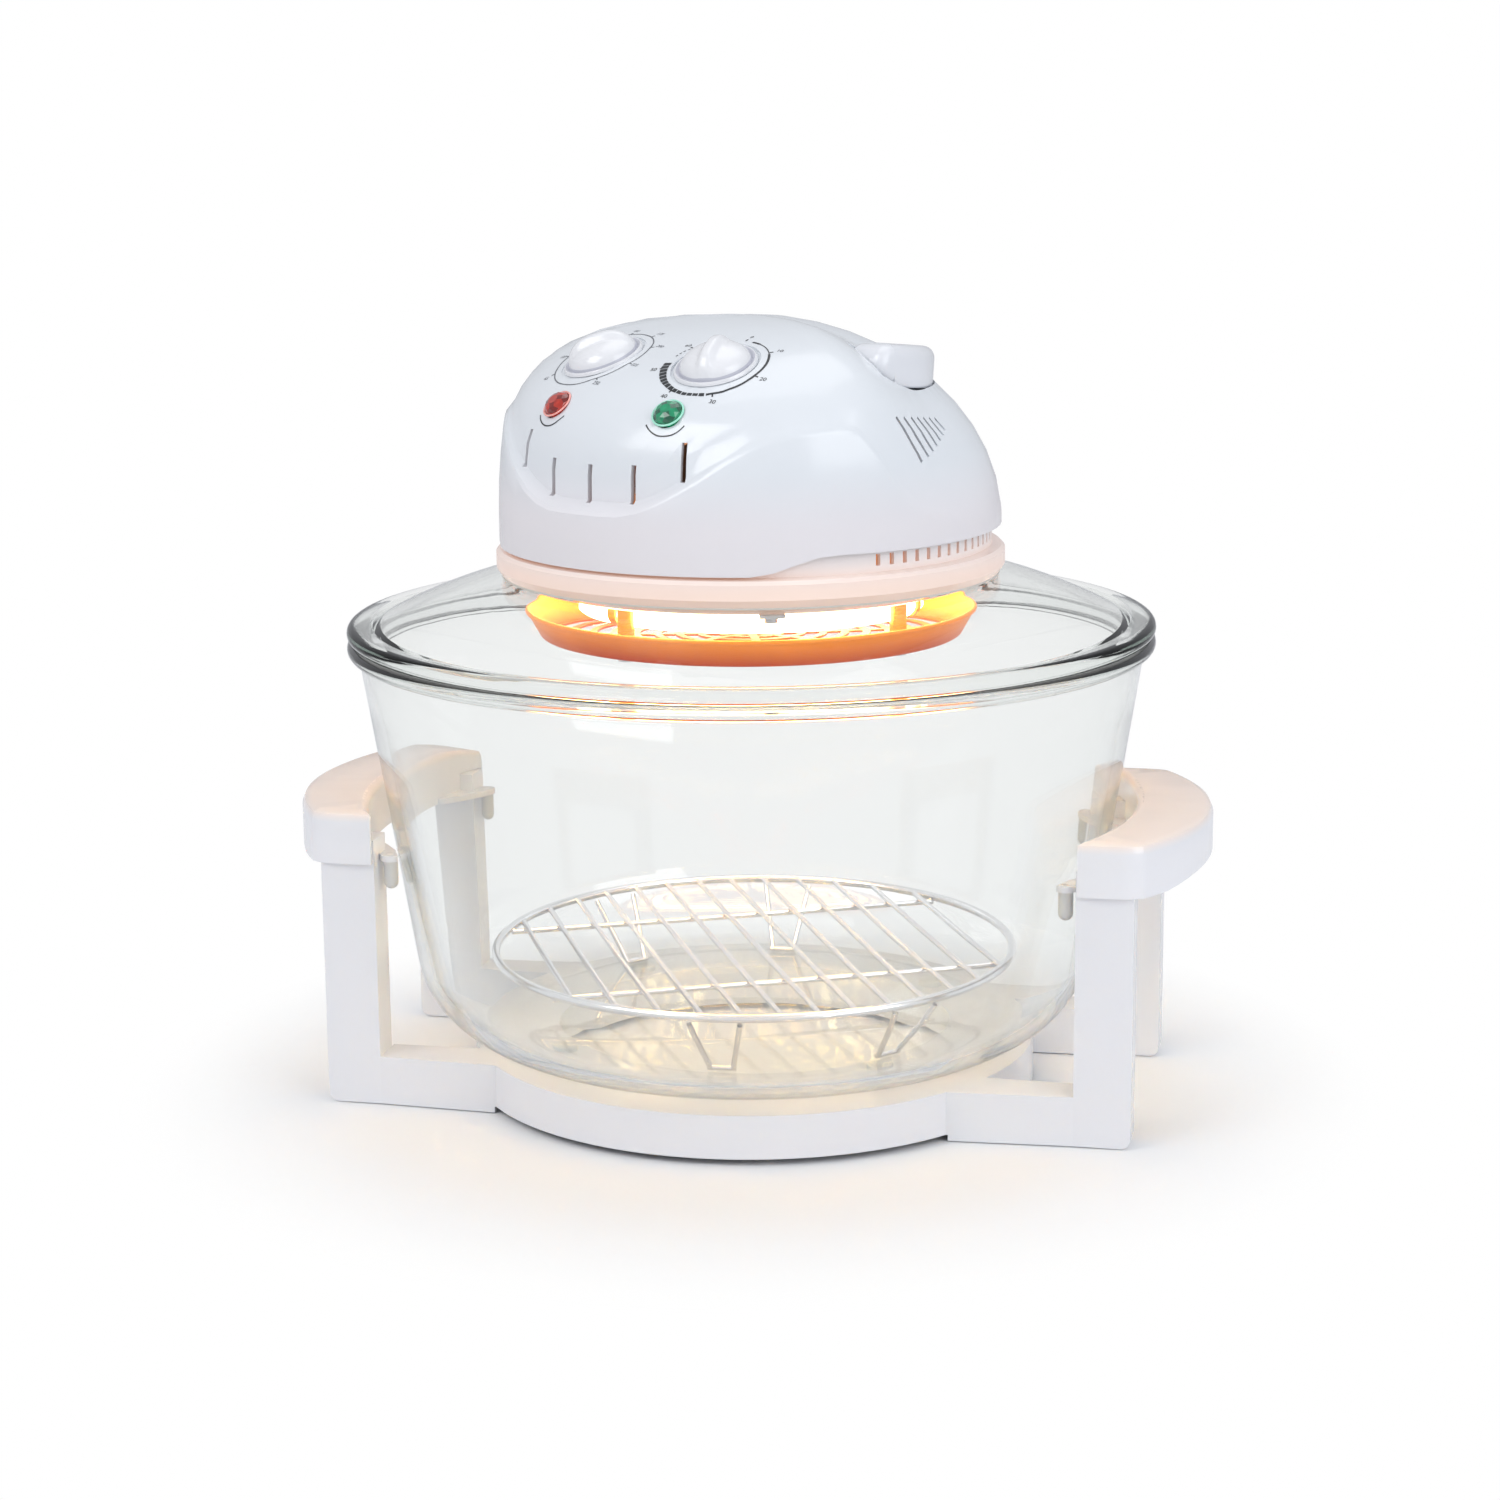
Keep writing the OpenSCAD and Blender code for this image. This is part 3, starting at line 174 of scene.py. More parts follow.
def build_tint() -> Tree:
    """Colour that drifts softly between two tones."""
    tree, into, out = new_group(
        Group.TINT,
        [("Scale", "NodeSocketFloat", 12.0), ("Tone A", "NodeSocketColor", (1, 1, 1, 1)),
         ("Tone B", "NodeSocketColor", (0.9, 0.9, 0.9, 1))],
        [("Color", "NodeSocketColor")])
    link = tree.links.new
    noise = object_noise(tree, 3.0)
    link(into.outputs["Scale"], noise.inputs["Scale"])
    tone = mix_tones(tree, noise.outputs["Fac"], into.outputs["Tone A"], into.outputs["Tone B"])
    link(tone, out.inputs["Color"])
    return tree


def build_painted_light() -> Tree:
    """Painted light: colour that turns from one tone to a warmer one between two heights, with an uneven
    front.
    """
    tree, into, out = new_group(
        Group.HEAT,
        [("Cool Height", "NodeSocketFloat", 0.24), ("Hot Height", "NodeSocketFloat", 0.2),
         ("Cool", "NodeSocketColor", (1, 1, 1, 1)), ("Hot", "NodeSocketColor", (1, 0.5, 0.2, 1)),
         ("Unevenness", "NodeSocketFloat", 0.2)],
        [("Color", "NodeSocketColor")])
    link = tree.links.new
    where = tree.nodes.new("ShaderNodeNewGeometry")
    split = tree.nodes.new("ShaderNodeSeparateXYZ")
    link(where.outputs["Position"], split.inputs["Vector"])
    spread = tree.nodes.new("ShaderNodeMapRange")
    spread.interpolation_type = "SMOOTHSTEP"
    link(split.outputs["Z"], spread.inputs["Value"])
    link(into.outputs["Cool Height"], spread.inputs["From Min"])
    link(into.outputs["Hot Height"], spread.inputs["From Max"])
    noise = object_noise(tree, 3.0)
    noise.inputs["Scale"].default_value = 14.0
    centred = tree.nodes.new("ShaderNodeMath")
    centred.operation = "SUBTRACT"
    centred.inputs[1].default_value = 0.5
    link(noise.outputs["Fac"], centred.inputs[0])
    uneven = tree.nodes.new("ShaderNodeMath")
    uneven.operation = "MULTIPLY_ADD"
    uneven.use_clamp = True
    link(centred.outputs["Value"], uneven.inputs[0])
    link(into.outputs["Unevenness"], uneven.inputs[1])
    link(spread.outputs["Result"], uneven.inputs[2])
    tone = mix_tones(tree, uneven.outputs["Value"], into.outputs["Cool"], into.outputs["Hot"])
    link(tone, out.inputs["Color"])
    return tree


def build_brush() -> Tree:
    """Fine turned or drawn lines: a height and a roughness, stretched along one direction."""
    tree, into, out = new_group(
        Group.BRUSH,
        [("Stretch", "NodeSocketVector", (1.0, 1.0, 40.0)), ("Scale", "NodeSocketFloat", 60.0),
         ("Smooth", "NodeSocketFloat", 0.2), ("Rough", "NodeSocketFloat", 0.4)],
        [("Height", "NodeSocketFloat"), ("Roughness", "NodeSocketFloat")])
    link = tree.links.new
    where = tree.nodes.new("ShaderNodeTexCoord")
    scale = tree.nodes.new("ShaderNodeVectorMath")
    scale.operation = "MULTIPLY"
    link(where.outputs["Object"], scale.inputs[0])
    link(into.outputs["Stretch"], scale.inputs[1])
    noise = tree.nodes.new("ShaderNodeTexNoise")
    noise.inputs["Detail"].default_value = 5.0
    link(scale.outputs["Vector"], noise.inputs["Vector"])
    link(into.outputs["Scale"], noise.inputs["Scale"])
    spread = tree.nodes.new("ShaderNodeMapRange")
    link(noise.outputs["Fac"], spread.inputs["Value"])
    link(into.outputs["Smooth"], spread.inputs["To Min"])
    link(into.outputs["Rough"], spread.inputs["To Max"])
    link(noise.outputs["Fac"], out.inputs["Height"])
    link(spread.outputs["Result"], out.inputs["Roughness"])
    return tree


GROUPS: dict[Group, Tree] = {
    Group.GRAIN: build_grain(),
    Group.TINT: build_tint(),
    Group.HEAT: build_painted_light(),
    Group.BRUSH: build_brush(),
}


# Finishes

class Shader:
    """A material under construction: its tree and its Principled BSDF."""

    def __init__(self, name: str) -> None:
        """Starts a material of that name with a Principled BSDF."""
        self.material = bpy.data.materials.new(name)
        self.material.use_nodes = True
        self.tree = self.material.node_tree
        self.bsdf = self.tree.nodes["Principled BSDF"]

    def set(self, **values: object) -> None:
        """Sets constants on the Principled BSDF's own sockets."""
        set_inputs(self.bsdf, **values)

    def place(self, kind: Group, **values: object) -> Node:
        """Places a shared group with its own values and returns its node."""
        node = self.tree.nodes.new("ShaderNodeGroup")
        node.node_tree = GROUPS[kind]
        set_inputs(node, **values)
        return node

    def link(self, source: Socket, target: str) -> None:
        """Links a socket to one of the Principled BSDF's inputs."""
        self.tree.links.new(source, self.bsdf.inputs[target])

    def bump(self, height: Socket, distance: float) -> None:
        """Feeds a height to the Normal through a Bump node, at that distance in metres."""
        node = self.tree.nodes.new("ShaderNodeBump")
        node.inputs["Distance"].default_value = distance
        self.tree.links.new(height, node.inputs["Height"])
        self.link(node.outputs["Normal"], "Normal")


def rgba(color: Color) -> tuple[float, float, float, float]:
    """A colour with full alpha."""
    return (*color, 1.0)


@dataclass(frozen=True)
class Plastic:
    """Moulded plastic: slight tone drift, fine grain, optional clear gloss."""

    name: str
    color: Color
    shade: Color
    smooth: float = 0.16
    rough: float = 0.26
    grain: float = FINE_BUMP
    coat: float = 0.3

    def material(self) -> Material:
        """Builds the finish."""
        shader = Shader(self.name)
        tint = shader.place(Group.TINT, Scale=9.0, Tone_A=rgba(self.color), Tone_B=rgba(self.shade))
        grain = shader.place(Group.GRAIN, Scale=FINE_GRAIN, Smooth=self.smooth, Rough=self.rough)
        shader.link(tint.outputs["Color"], "Base Color")
        shader.link(grain.outputs["Roughness"], "Roughness")
        shader.bump(grain.outputs["Height"], self.grain)
        shader.set(IOR=PLASTIC_IOR, Coat_Weight=self.coat, Coat_Roughness=COAT_ROUGHNESS)
        return shader.material


@dataclass(frozen=True)
class HeightLitPlastic:
    """White plastic with painted light between two heights: a second tone and a faint glow, standing for
    the lamp's warm light and the light falling from above.
    """

    name: str
    color: Color
    warm: Color
    cool_z: float
    warm_z: float
    glow: Color = BLACK
    smooth: float = 0.14
    rough: float = 0.24
    coat: float = 0.3

    def material(self) -> Material:
        """Builds the finish."""
        shader = Shader(self.name)
        painted_tone = shader.place(Group.HEAT, Cool_Height=self.cool_z, Hot_Height=self.warm_z,
                            Cool=rgba(self.color), Hot=rgba(self.warm), Unevenness=0.35)
        lit = shader.place(Group.HEAT, Cool_Height=self.cool_z, Hot_Height=self.warm_z,
                           Cool=rgba(BLACK), Hot=rgba(self.glow), Unevenness=0.2)
        grain = shader.place(Group.GRAIN, Scale=FINE_GRAIN, Smooth=self.smooth, Rough=self.rough)
        shader.link(painted_tone.outputs["Color"], "Base Color")
        shader.link(lit.outputs["Color"], "Emission Color")
        shader.link(grain.outputs["Roughness"], "Roughness")
        shader.bump(grain.outputs["Height"], FINE_BUMP)
        shader.set(IOR=PLASTIC_IOR, Coat_Weight=self.coat, Coat_Roughness=COAT_ROUGHNESS,
                   Emission_Strength=1.0)
        return shader.material


@dataclass(frozen=True)
class Metal:
    """Sheet or wire metal with fine lines in it."""

    name: str
    color: Color
    smooth: float = 0.2
    rough: float = 0.4
    stretch: Point3 = (1.0, 1.0, 30.0)
    depth: float = FINE_BUMP

    def material(self) -> Material:
        """Builds the finish."""
        shader = Shader(self.name)
        lines = shader.place(Group.BRUSH, Stretch=self.stretch, Scale=70.0, Smooth=self.smooth,
                             Rough=self.rough)
        shader.link(lines.outputs["Roughness"], "Roughness")
        shader.bump(lines.outputs["Height"], self.depth)
        shader.set(Base_Color=rgba(self.color), Metallic=1.0)
        return shader.material


@dataclass(frozen=True)
class LampLitMetal:
    """Metal beside the lamp with painted lamp light: colour and glow brightest at one height, darker away
    from it.
    """

    name: str
    cool: Color
    hot: Color
    cool_z: float
    bright_z: float
    glow: float
    metallic: float = 0.75
    rough: float = 0.36
    stretch: Point3 = (1.0, 1.0, 20.0)

    def material(self) -> Material:
        """Builds the finish."""
        shader = Shader(self.name)
        painted_tone = shader.place(Group.HEAT, Cool_Height=self.cool_z, Hot_Height=self.bright_z,
                            Cool=rgba(self.cool), Hot=rgba(self.hot), Unevenness=0.7)
        lines = shader.place(Group.BRUSH, Stretch=self.stretch, Scale=60.0, Smooth=self.rough - 0.2,
                             Rough=self.rough)
        shader.link(painted_tone.outputs["Color"], "Base Color")
        shader.link(painted_tone.outputs["Color"], "Emission Color")
        shader.link(lines.outputs["Roughness"], "Roughness")
        shader.bump(lines.outputs["Height"], FINE_BUMP)
        shader.set(Metallic=self.metallic, Emission_Strength=self.glow)
        return shader.material


@dataclass(frozen=True)
class Glass:
    """Clear cookware glass with a faint tint that deepens along long paths."""

    name: str
    tint: Color
    density: float
    ior: float = 1.47

    def material(self) -> Material:
        """Builds the finish."""
        shader = Shader(self.name)
        shader.set(Base_Color=rgba(WHITE), Transmission_Weight=1.0, IOR=self.ior, Roughness=0.0)
        tree = shader.tree
        out = tree.nodes["Material Output"]
        clear = tree.nodes.new("ShaderNodeBsdfTransparent")
        set_inputs(clear, Color=rgba(GLASS_SHADOW))
        path = tree.nodes.new("ShaderNodeLightPath")
        mix_shaders(tree, path.outputs["Is Shadow Ray"], shader.bsdf.outputs["BSDF"],
                    clear.outputs["BSDF"], out.inputs["Surface"])
        absorb = tree.nodes.new("ShaderNodeVolumeAbsorption")
        set_inputs(absorb, Color=rgba(self.tint), Density=self.density)
        tree.links.new(absorb.outputs["Volume"], out.inputs["Volume"])
        return shader.material


@dataclass(frozen=True)
class Jewel:
    """Coloured see-through lens, lit from behind."""

    name: str
    color: Color
    deep: Color
    glow: float

    def material(self) -> Material:
        """Builds the finish."""
        shader = Shader(self.name)
        tint = shader.place(Group.TINT, Scale=420.0, Tone_A=rgba(self.color), Tone_B=rgba(self.deep))
        shader.link(tint.outputs["Color"], "Base Color")
        shader.link(tint.outputs["Color"], "Emission Color")
        shader.set(Roughness=0.08, IOR=PLASTIC_IOR, Coat_Weight=1.0, Coat_Roughness=0.03,
                   Emission_Strength=self.glow)
        return shader.material


@dataclass(frozen=True)
class Glow:
    """A glowing surface whose colour drifts between two tones."""

    name: str
    color: Color
    edge: Color
    strength: float

    def material(self) -> Material:
        """Builds the finish."""
        shader = Shader(self.name)
        tint = shader.place(Group.TINT, Scale=30.0, Tone_A=rgba(self.color), Tone_B=rgba(self.edge))
        shader.link(tint.outputs["Color"], "Base Color")
        shader.link(tint.outputs["Color"], "Emission Color")
        shader.set(Roughness=0.2, Emission_Strength=self.strength)
        return shader.material


@dataclass(frozen=True)
class Soft:
    """Rubber, silicone, felt or plain ceramic: no gloss, coarser grain."""

    name: str
    color: Color
    shade: Color
    rough: float = 0.7
    grain_scale: float = 500.0
    grain: float = 0.00006

    def material(self) -> Material:
        """Builds the finish."""
        shader = Shader(self.name)
        tint = shader.place(Group.TINT, Scale=60.0, Tone_A=rgba(self.color), Tone_B=rgba(self.shade))
        grain = shader.place(Group.GRAIN, Scale=self.grain_scale, Smooth=self.rough - 0.1, Rough=self.rough)
        shader.link(tint.outputs["Color"], "Base Color")
        shader.link(grain.outputs["Roughness"], "Roughness")
        shader.bump(grain.outputs["Height"], self.grain)
        return shader.material


@dataclass(frozen=True)
class Ink:
    """Printed marks, slightly thin in places."""

    name: str
    color: Color

    def material(self) -> Material:
        """Builds the finish."""
        shader = Shader(self.name)
        faded = tuple(min(1.0, c * 1.6 + 0.02) for c in self.color)
        tint = shader.place(Group.TINT, Scale=700.0, Tone_A=rgba(self.color), Tone_B=rgba(faded))
        shader.link(tint.outputs["Color"], "Base Color")
        shader.set(Roughness=0.35)
        return shader.material


Finish = Plastic | HeightLitPlastic | Metal | LampLitMetal | Glass | Jewel | Glow | Soft | Ink

# Painted light: bluer above and lavender below, as the light falls, with a faint painted glow low down.
HOUSING_WHITE = HeightLitPlastic(
    "head_white", (0.79, 0.825, 0.865), (0.84, 0.835, 0.865), 0.276, 0.246, (0.02, 0.0, 0.0))
HANDLE_WHITE = Plastic("handle_white", (0.82, 0.835, 0.87), (0.79, 0.805, 0.85))
STAND_WHITE = Plastic("stand_white", (0.84, 0.84, 0.87), (0.81, 0.815, 0.85), coat=0.2)
# Painted lamp light: the grip tops turn warm and glow faintly.
GRIP_WHITE = HeightLitPlastic(
    "grip_white", (0.84, 0.84, 0.87), (0.92, 0.81, 0.73), 0.121, 0.1265, (0.06, 0.02, 0.005))
# Painted lamp light: the collar turns warm and glows towards its lower edge.
COLLAR_WHITE = HeightLitPlastic(
    "collar_white", (0.84, 0.84, 0.86), (0.92, 0.82, 0.76), 0.242, 0.224, (0.2, 0.08, 0.03))
KNOB_WHITE = Plastic("knob_white", (0.86, 0.865, 0.89), (0.83, 0.84, 0.87), coat=0.5)
BOWL_GLASS = Glass("bowl_glass", (0.57, 0.63, 0.61), 30.0)
LID_GLASS = Glass("lid_glass", (0.58, 0.64, 0.61), 18.0, 1.2)
STEEL = Metal("screw_steel", (0.62, 0.63, 0.65))
WIRE = Metal("rack_wire", (0.78, 0.78, 0.80), 0.08, 0.2)
# Painted lamp light: the reflector glows bright yellow, a painted reflection of the lamp.
LIT_DISH = LampLitMetal("lit_dish", (1.0, 0.80, 0.30), (1.0, 0.92, 0.62), 0.224, 0.214, 4.0)
PRESSED = Metal("pressed_fan", (0.72, 0.73, 0.75), 0.25, 0.45)
LAMINATED = Metal("laminated_core", (0.32, 0.33, 0.35), 0.35, 0.55, (1.0, 1.0, 90.0), 0.0002)
# Painted lamp light: the amber tone and glow of the guard, its pillars and the lamp clips, brightest near
# the lamp.
LAMP_LIT_PAN = LampLitMetal("lamp_lit_pan", (0.42, 0.04, 0.003), (0.85, 0.25, 0.01), 0.192, 0.207, 0.4, 0.3, 0.5)
LAMP_LIT_POST = LampLitMetal("lamp_lit_post", (0.45, 0.17, 0.04), (0.75, 0.34, 0.06), 0.193, 0.218, 0.3)
RUBBER = Soft("pale_rubber", (0.72, 0.72, 0.71), (0.64, 0.64, 0.63))
SILICONE = Soft("silicone", (0.80, 0.76, 0.70), (0.74, 0.70, 0.64), 0.5)
FELT = Soft("mineral_felt", (0.80, 0.76, 0.68), (0.66, 0.62, 0.54), 0.95, 160.0, 0.0006)
CERAMIC = Soft("ceramic", (0.90, 0.89, 0.85), (0.85, 0.83, 0.78), 0.45)
DARK = Plastic("control_dark", (0.05, 0.05, 0.055), (0.08, 0.08, 0.085), 0.35, 0.5, coat=0.0)
PALE = Plastic("control_pale", (0.70, 0.69, 0.64), (0.64, 0.63, 0.58), 0.35, 0.5, coat=0.0)
WINDING = Soft("wound_tape", (0.50, 0.24, 0.08), (0.38, 0.16, 0.05), 0.45, 300.0, 0.0003)
SIGNAL_RED = Plastic("signal_red", (0.55, 0.08, 0.05), (0.45, 0.05, 0.04), coat=0.0)
RED_JEWEL = Jewel("red_jewel", (0.62, 0.035, 0.01), (0.16, 0.004, 0.003), 0.22)
GREEN_JEWEL = Jewel("green_jewel", (0.005, 0.36, 0.15), (0.001, 0.09, 0.05), 0.22)
# Painted shade: darker copies of the lens finishes for alternate facets.
RED_SHADED_FACET = Jewel("red_shaded_facet", (0.26, 0.010, 0.004), (0.10, 0.003, 0.002), 0.1)
GREEN_SHADED_FACET = Jewel("green_shaded_facet", (0.002, 0.14, 0.06), (0.001, 0.05, 0.03), 0.1)
# Painted halo: pale glowing rims round the lit lenses.
RED_HALO_RIM = Jewel("red_halo_rim", (0.95, 0.45, 0.40), (0.85, 0.30, 0.26), 0.1)
GREEN_HALO_RIM = Jewel("green_halo_rim", (0.42, 0.86, 0.68), (0.28, 0.74, 0.56), 0.1)
# Painted lamp light, seen through the collar's vents.
VENT_GLOW = Glow("vent_glow", (0.55, 0.20, 0.05), (0.22, 0.09, 0.05), 1.0)
# Painted shade on the knob's dish beside the dome.
DISH_SHADE = Plastic("dish_painted_shade", (0.62, 0.63, 0.69), (0.54, 0.55, 0.62), 0.25, 0.35, coat=0.0)
NEON = Glow("neon", (1.0, 0.5, 0.25), (0.9, 0.4, 0.2), 0.6)
LAMP = Glow("lit_lamp", (1.0, 0.88, 0.55), (1.0, 0.78, 0.34), 18.0)
BLACK_INK = Ink("black_ink", (0.012, 0.013, 0.016))
GREY_INK = Ink("grey_ink", (0.10, 0.105, 0.12))

_MATERIALS: dict[str, Material] = {}


def finish_material(finish: Finish) -> Material:
    """The material of a finish, built once."""
    if finish.name not in _MATERIALS:
        _MATERIALS[finish.name] = finish.material()
    return _MATERIALS[finish.name]


def dress(node: str, finish: Finish) -> Piece:
    """Gives a CAD node's slots a finish and returns its object."""
    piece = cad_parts[node]
    material = finish_material(finish)
    for place in piece.material_slots:
        place.material = material
    LOG.info("dressed %s in %s", node, finish.name)
    return piece


def dress_all(nodes: dict[str, Finish]) -> None:
    """Gives each of these CAD nodes its finish."""
    for node, finish in nodes.items():
        dress(node, finish)


# Mesh helpers

def build_even_shading() -> Tree:
    """A modifier group that shades a shell evenly across flat patches and keeps real edges sharp."""
    tree = bpy.data.node_groups.new("even_shading", "GeometryNodeTree")
    tree.interface.new_socket("Geometry", in_out="INPUT", socket_type="NodeSocketGeometry")
    tree.interface.new_socket("Geometry", in_out="OUTPUT", socket_type="NodeSocketGeometry")
    link = tree.links.new
    into, out = tree.nodes.new("NodeGroupInput"), tree.nodes.new("NodeGroupOutput")
    weld = tree.nodes.new("GeometryNodeMergeByDistance")
    weld.inputs["Distance"].default_value = WELD_REACH
    angle = tree.nodes.new("GeometryNodeInputMeshEdgeAngle")
    sharp = tree.nodes.new("FunctionNodeCompare")
    sharp.data_type = "FLOAT"
    sharp.operation = "GREATER_THAN"
    sharp.inputs["B"].default_value = SHARP_ANGLE
    shade = tree.nodes.new("GeometryNodeSetMeshNormal")
    shade.mode = "SHARPNESS"
    shade.inputs["Remove Custom"].default_value = True
    link(into.outputs["Geometry"], weld.inputs["Geometry"])
    link(weld.outputs["Geometry"], shade.inputs["Mesh"])
    link(angle.outputs["Unsigned Angle"], sharp.inputs["A"])
    link(sharp.outputs["Result"], shade.inputs["Edge Sharpness"])
    link(shade.outputs["Mesh"], out.inputs["Geometry"])
    return tree


EVEN_SHADING = build_even_shading()


def shade_evenly(piece: Piece) -> None:
    """Adds the even shading to a CAD object, which stays as it is otherwise."""
    piece.modifiers.new("even shading", "NODES").node_group = EVEN_SHADING


def mesh_piece(name: str, points: Sequence[Vector], faces: Sequence[Face], finish: Finish,
               body: str, smooth: bool = True) -> Piece:
    """Makes a mesh piece that rides on a body.

    Args:
        name: the piece's name.
        points: vertices in the row frame, in metres.
        faces: faces as vertex indices.
        finish: the finish it takes.
        body: the CAD body it rides on.
        smooth: whether its faces are shaded smooth.

    Returns:
        The new object.
    """
    mesh = bpy.data.meshes.new(name)
    mesh.from_pydata([tuple(p) for p in points], [], faces)
    mesh.update()
    for polygon in mesh.polygons:
        polygon.use_smooth = smooth
    mesh.materials.append(finish_material(finish))
    piece = bpy.data.objects.new(name, mesh)
    bpy.context.scene.collection.objects.link(piece)
    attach(piece, body)
    LOG.info("built %s on %s: %d faces", name, body, len(faces))
    return piece


def smoothstep(low: float, high: float, value: float) -> float:
    """Eased step from 0 at low to 1 at high."""
    t = max(0.0, min(1.0, (value - low) / (high - low)))
    return t * t * (3.0 - 2.0 * t)


def polar(radius: float, angle: float) -> Point2:
    """X and Y of a radius and an angle, anticlockwise from +X in radians."""
    return radius * math.cos(angle), radius * math.sin(angle)


def on_face(place: Matrix, x: float, y: float, z: float) -> Vector:
    """A point given in millimetres in a face's frame, in the row frame."""
    return place @ Vector((x * MM, y * MM, z * MM))


# Sub-assemblies

@dataclass
class Stand:
    """The white stand: ring, arms, posts and grips."""

    white: Plastic = STAND_WHITE
    grip: HeightLitPlastic = GRIP_WHITE

    def build(self) -> None:
        """Dresses the stand's nodes."""
        for node in ("base_frame", "post_front_left", "post_front_right",
                     "post_rear_left", "post_rear_right"):
            dress(node, self.white)
        for node in ("left_grip", "right_grip"):
            shade_evenly(dress(node, self.grip))
        dress("stand_screws", STEEL)
        for node in ("foot_pads", "bowl_pads", "bowl_bumpers"):
            dress(node, RUBBER)


@dataclass
class Cookware:
    """The glass bowl, its rack and the glass of the lid."""

    def build(self) -> None:
        """Dresses the glass and the wire."""
        shade_evenly(dress("glass_bowl", BOWL_GLASS))
        shade_evenly(dress("glass_lid", LID_GLASS))
        dress("rack_grid", WIRE)
        dress("rack_feet", WIRE)


@dataclass
class Head:
    """The head's casing, what holds it and its motor."""

    nodes: dict[str, Finish] = field(default_factory=lambda: {
        "lid_gasket": SILICONE, "collar": COLLAR_WHITE, "lid_clamps": STEEL, "clamp_screws": STEEL,
        "housing": HOUSING_WHITE, "housing_screws": STEEL, "carry_handle": HANDLE_WHITE,
        "handle_pins": STEEL, "safety_switch": DARK, "switch_plunger": SIGNAL_RED, "thermostat": DARK,
        "timer": PALE,
        "thermostat_shaft": STEEL, "timer_shaft": STEEL, "indicator_lamps": NEON, "fan_shaft": STEEL,
        "cooling_fan": PRESSED, "hot_air_fan": PRESSED, "motor_core": LAMINATED, "motor_coil": WINDING,
        "motor_brackets": STEEL, "motor_posts": STEEL, "thermal_cutout": DARK, "terminal_block": PALE,
        "cord_inlet": HANDLE_WHITE, "power_lens": RED_JEWEL, "heat_lens": GREEN_JEWEL})

    def build(self) -> None:
        """Dresses the head's nodes."""
        dress_all(self.nodes)
        for node in ("housing", "carry_handle", "collar"):
            shade_evenly(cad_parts[node])


@dataclass
class Heater:
    """The lit lamp, what shields it and the guard below."""

    nodes: dict[str, Finish] = field(default_factory=lambda: {
        "heat_shield": STEEL, "insulation_disc": FELT, "reflector": LIT_DISH, "halogen_lamp": LAMP,
        "lamp_ends": CERAMIC, "lamp_clips": LAMP_LIT_POST, "heater_guard": LAMP_LIT_PAN,
        "guard_pillars": LAMP_LIT_POST, "guard_screws": STEEL})

    def build(self) -> None:
        """Dresses the heater's nodes."""
        dress_all(self.nodes)


@dataclass
class DialFace:
    """The place of a dial or a lens on the panel, in the head's frame, in millimetres and degrees."""

    x: float
    y: float
    z: float
    yaw: float
    tilt: float

    def matrix(self) -> Matrix:
        """The face's frame in the row frame: +Y up the panel, +Z out of it."""
        place = Matrix.Translation(Vector((self.x, self.y, self.z)) * MM)
        yaw = Matrix.Rotation(math.radians(self.yaw), 4, "Z")
        turn = yaw @ Matrix.Rotation(math.radians(self.tilt), 4, "X")
        return head_matrix() @ place @ turn


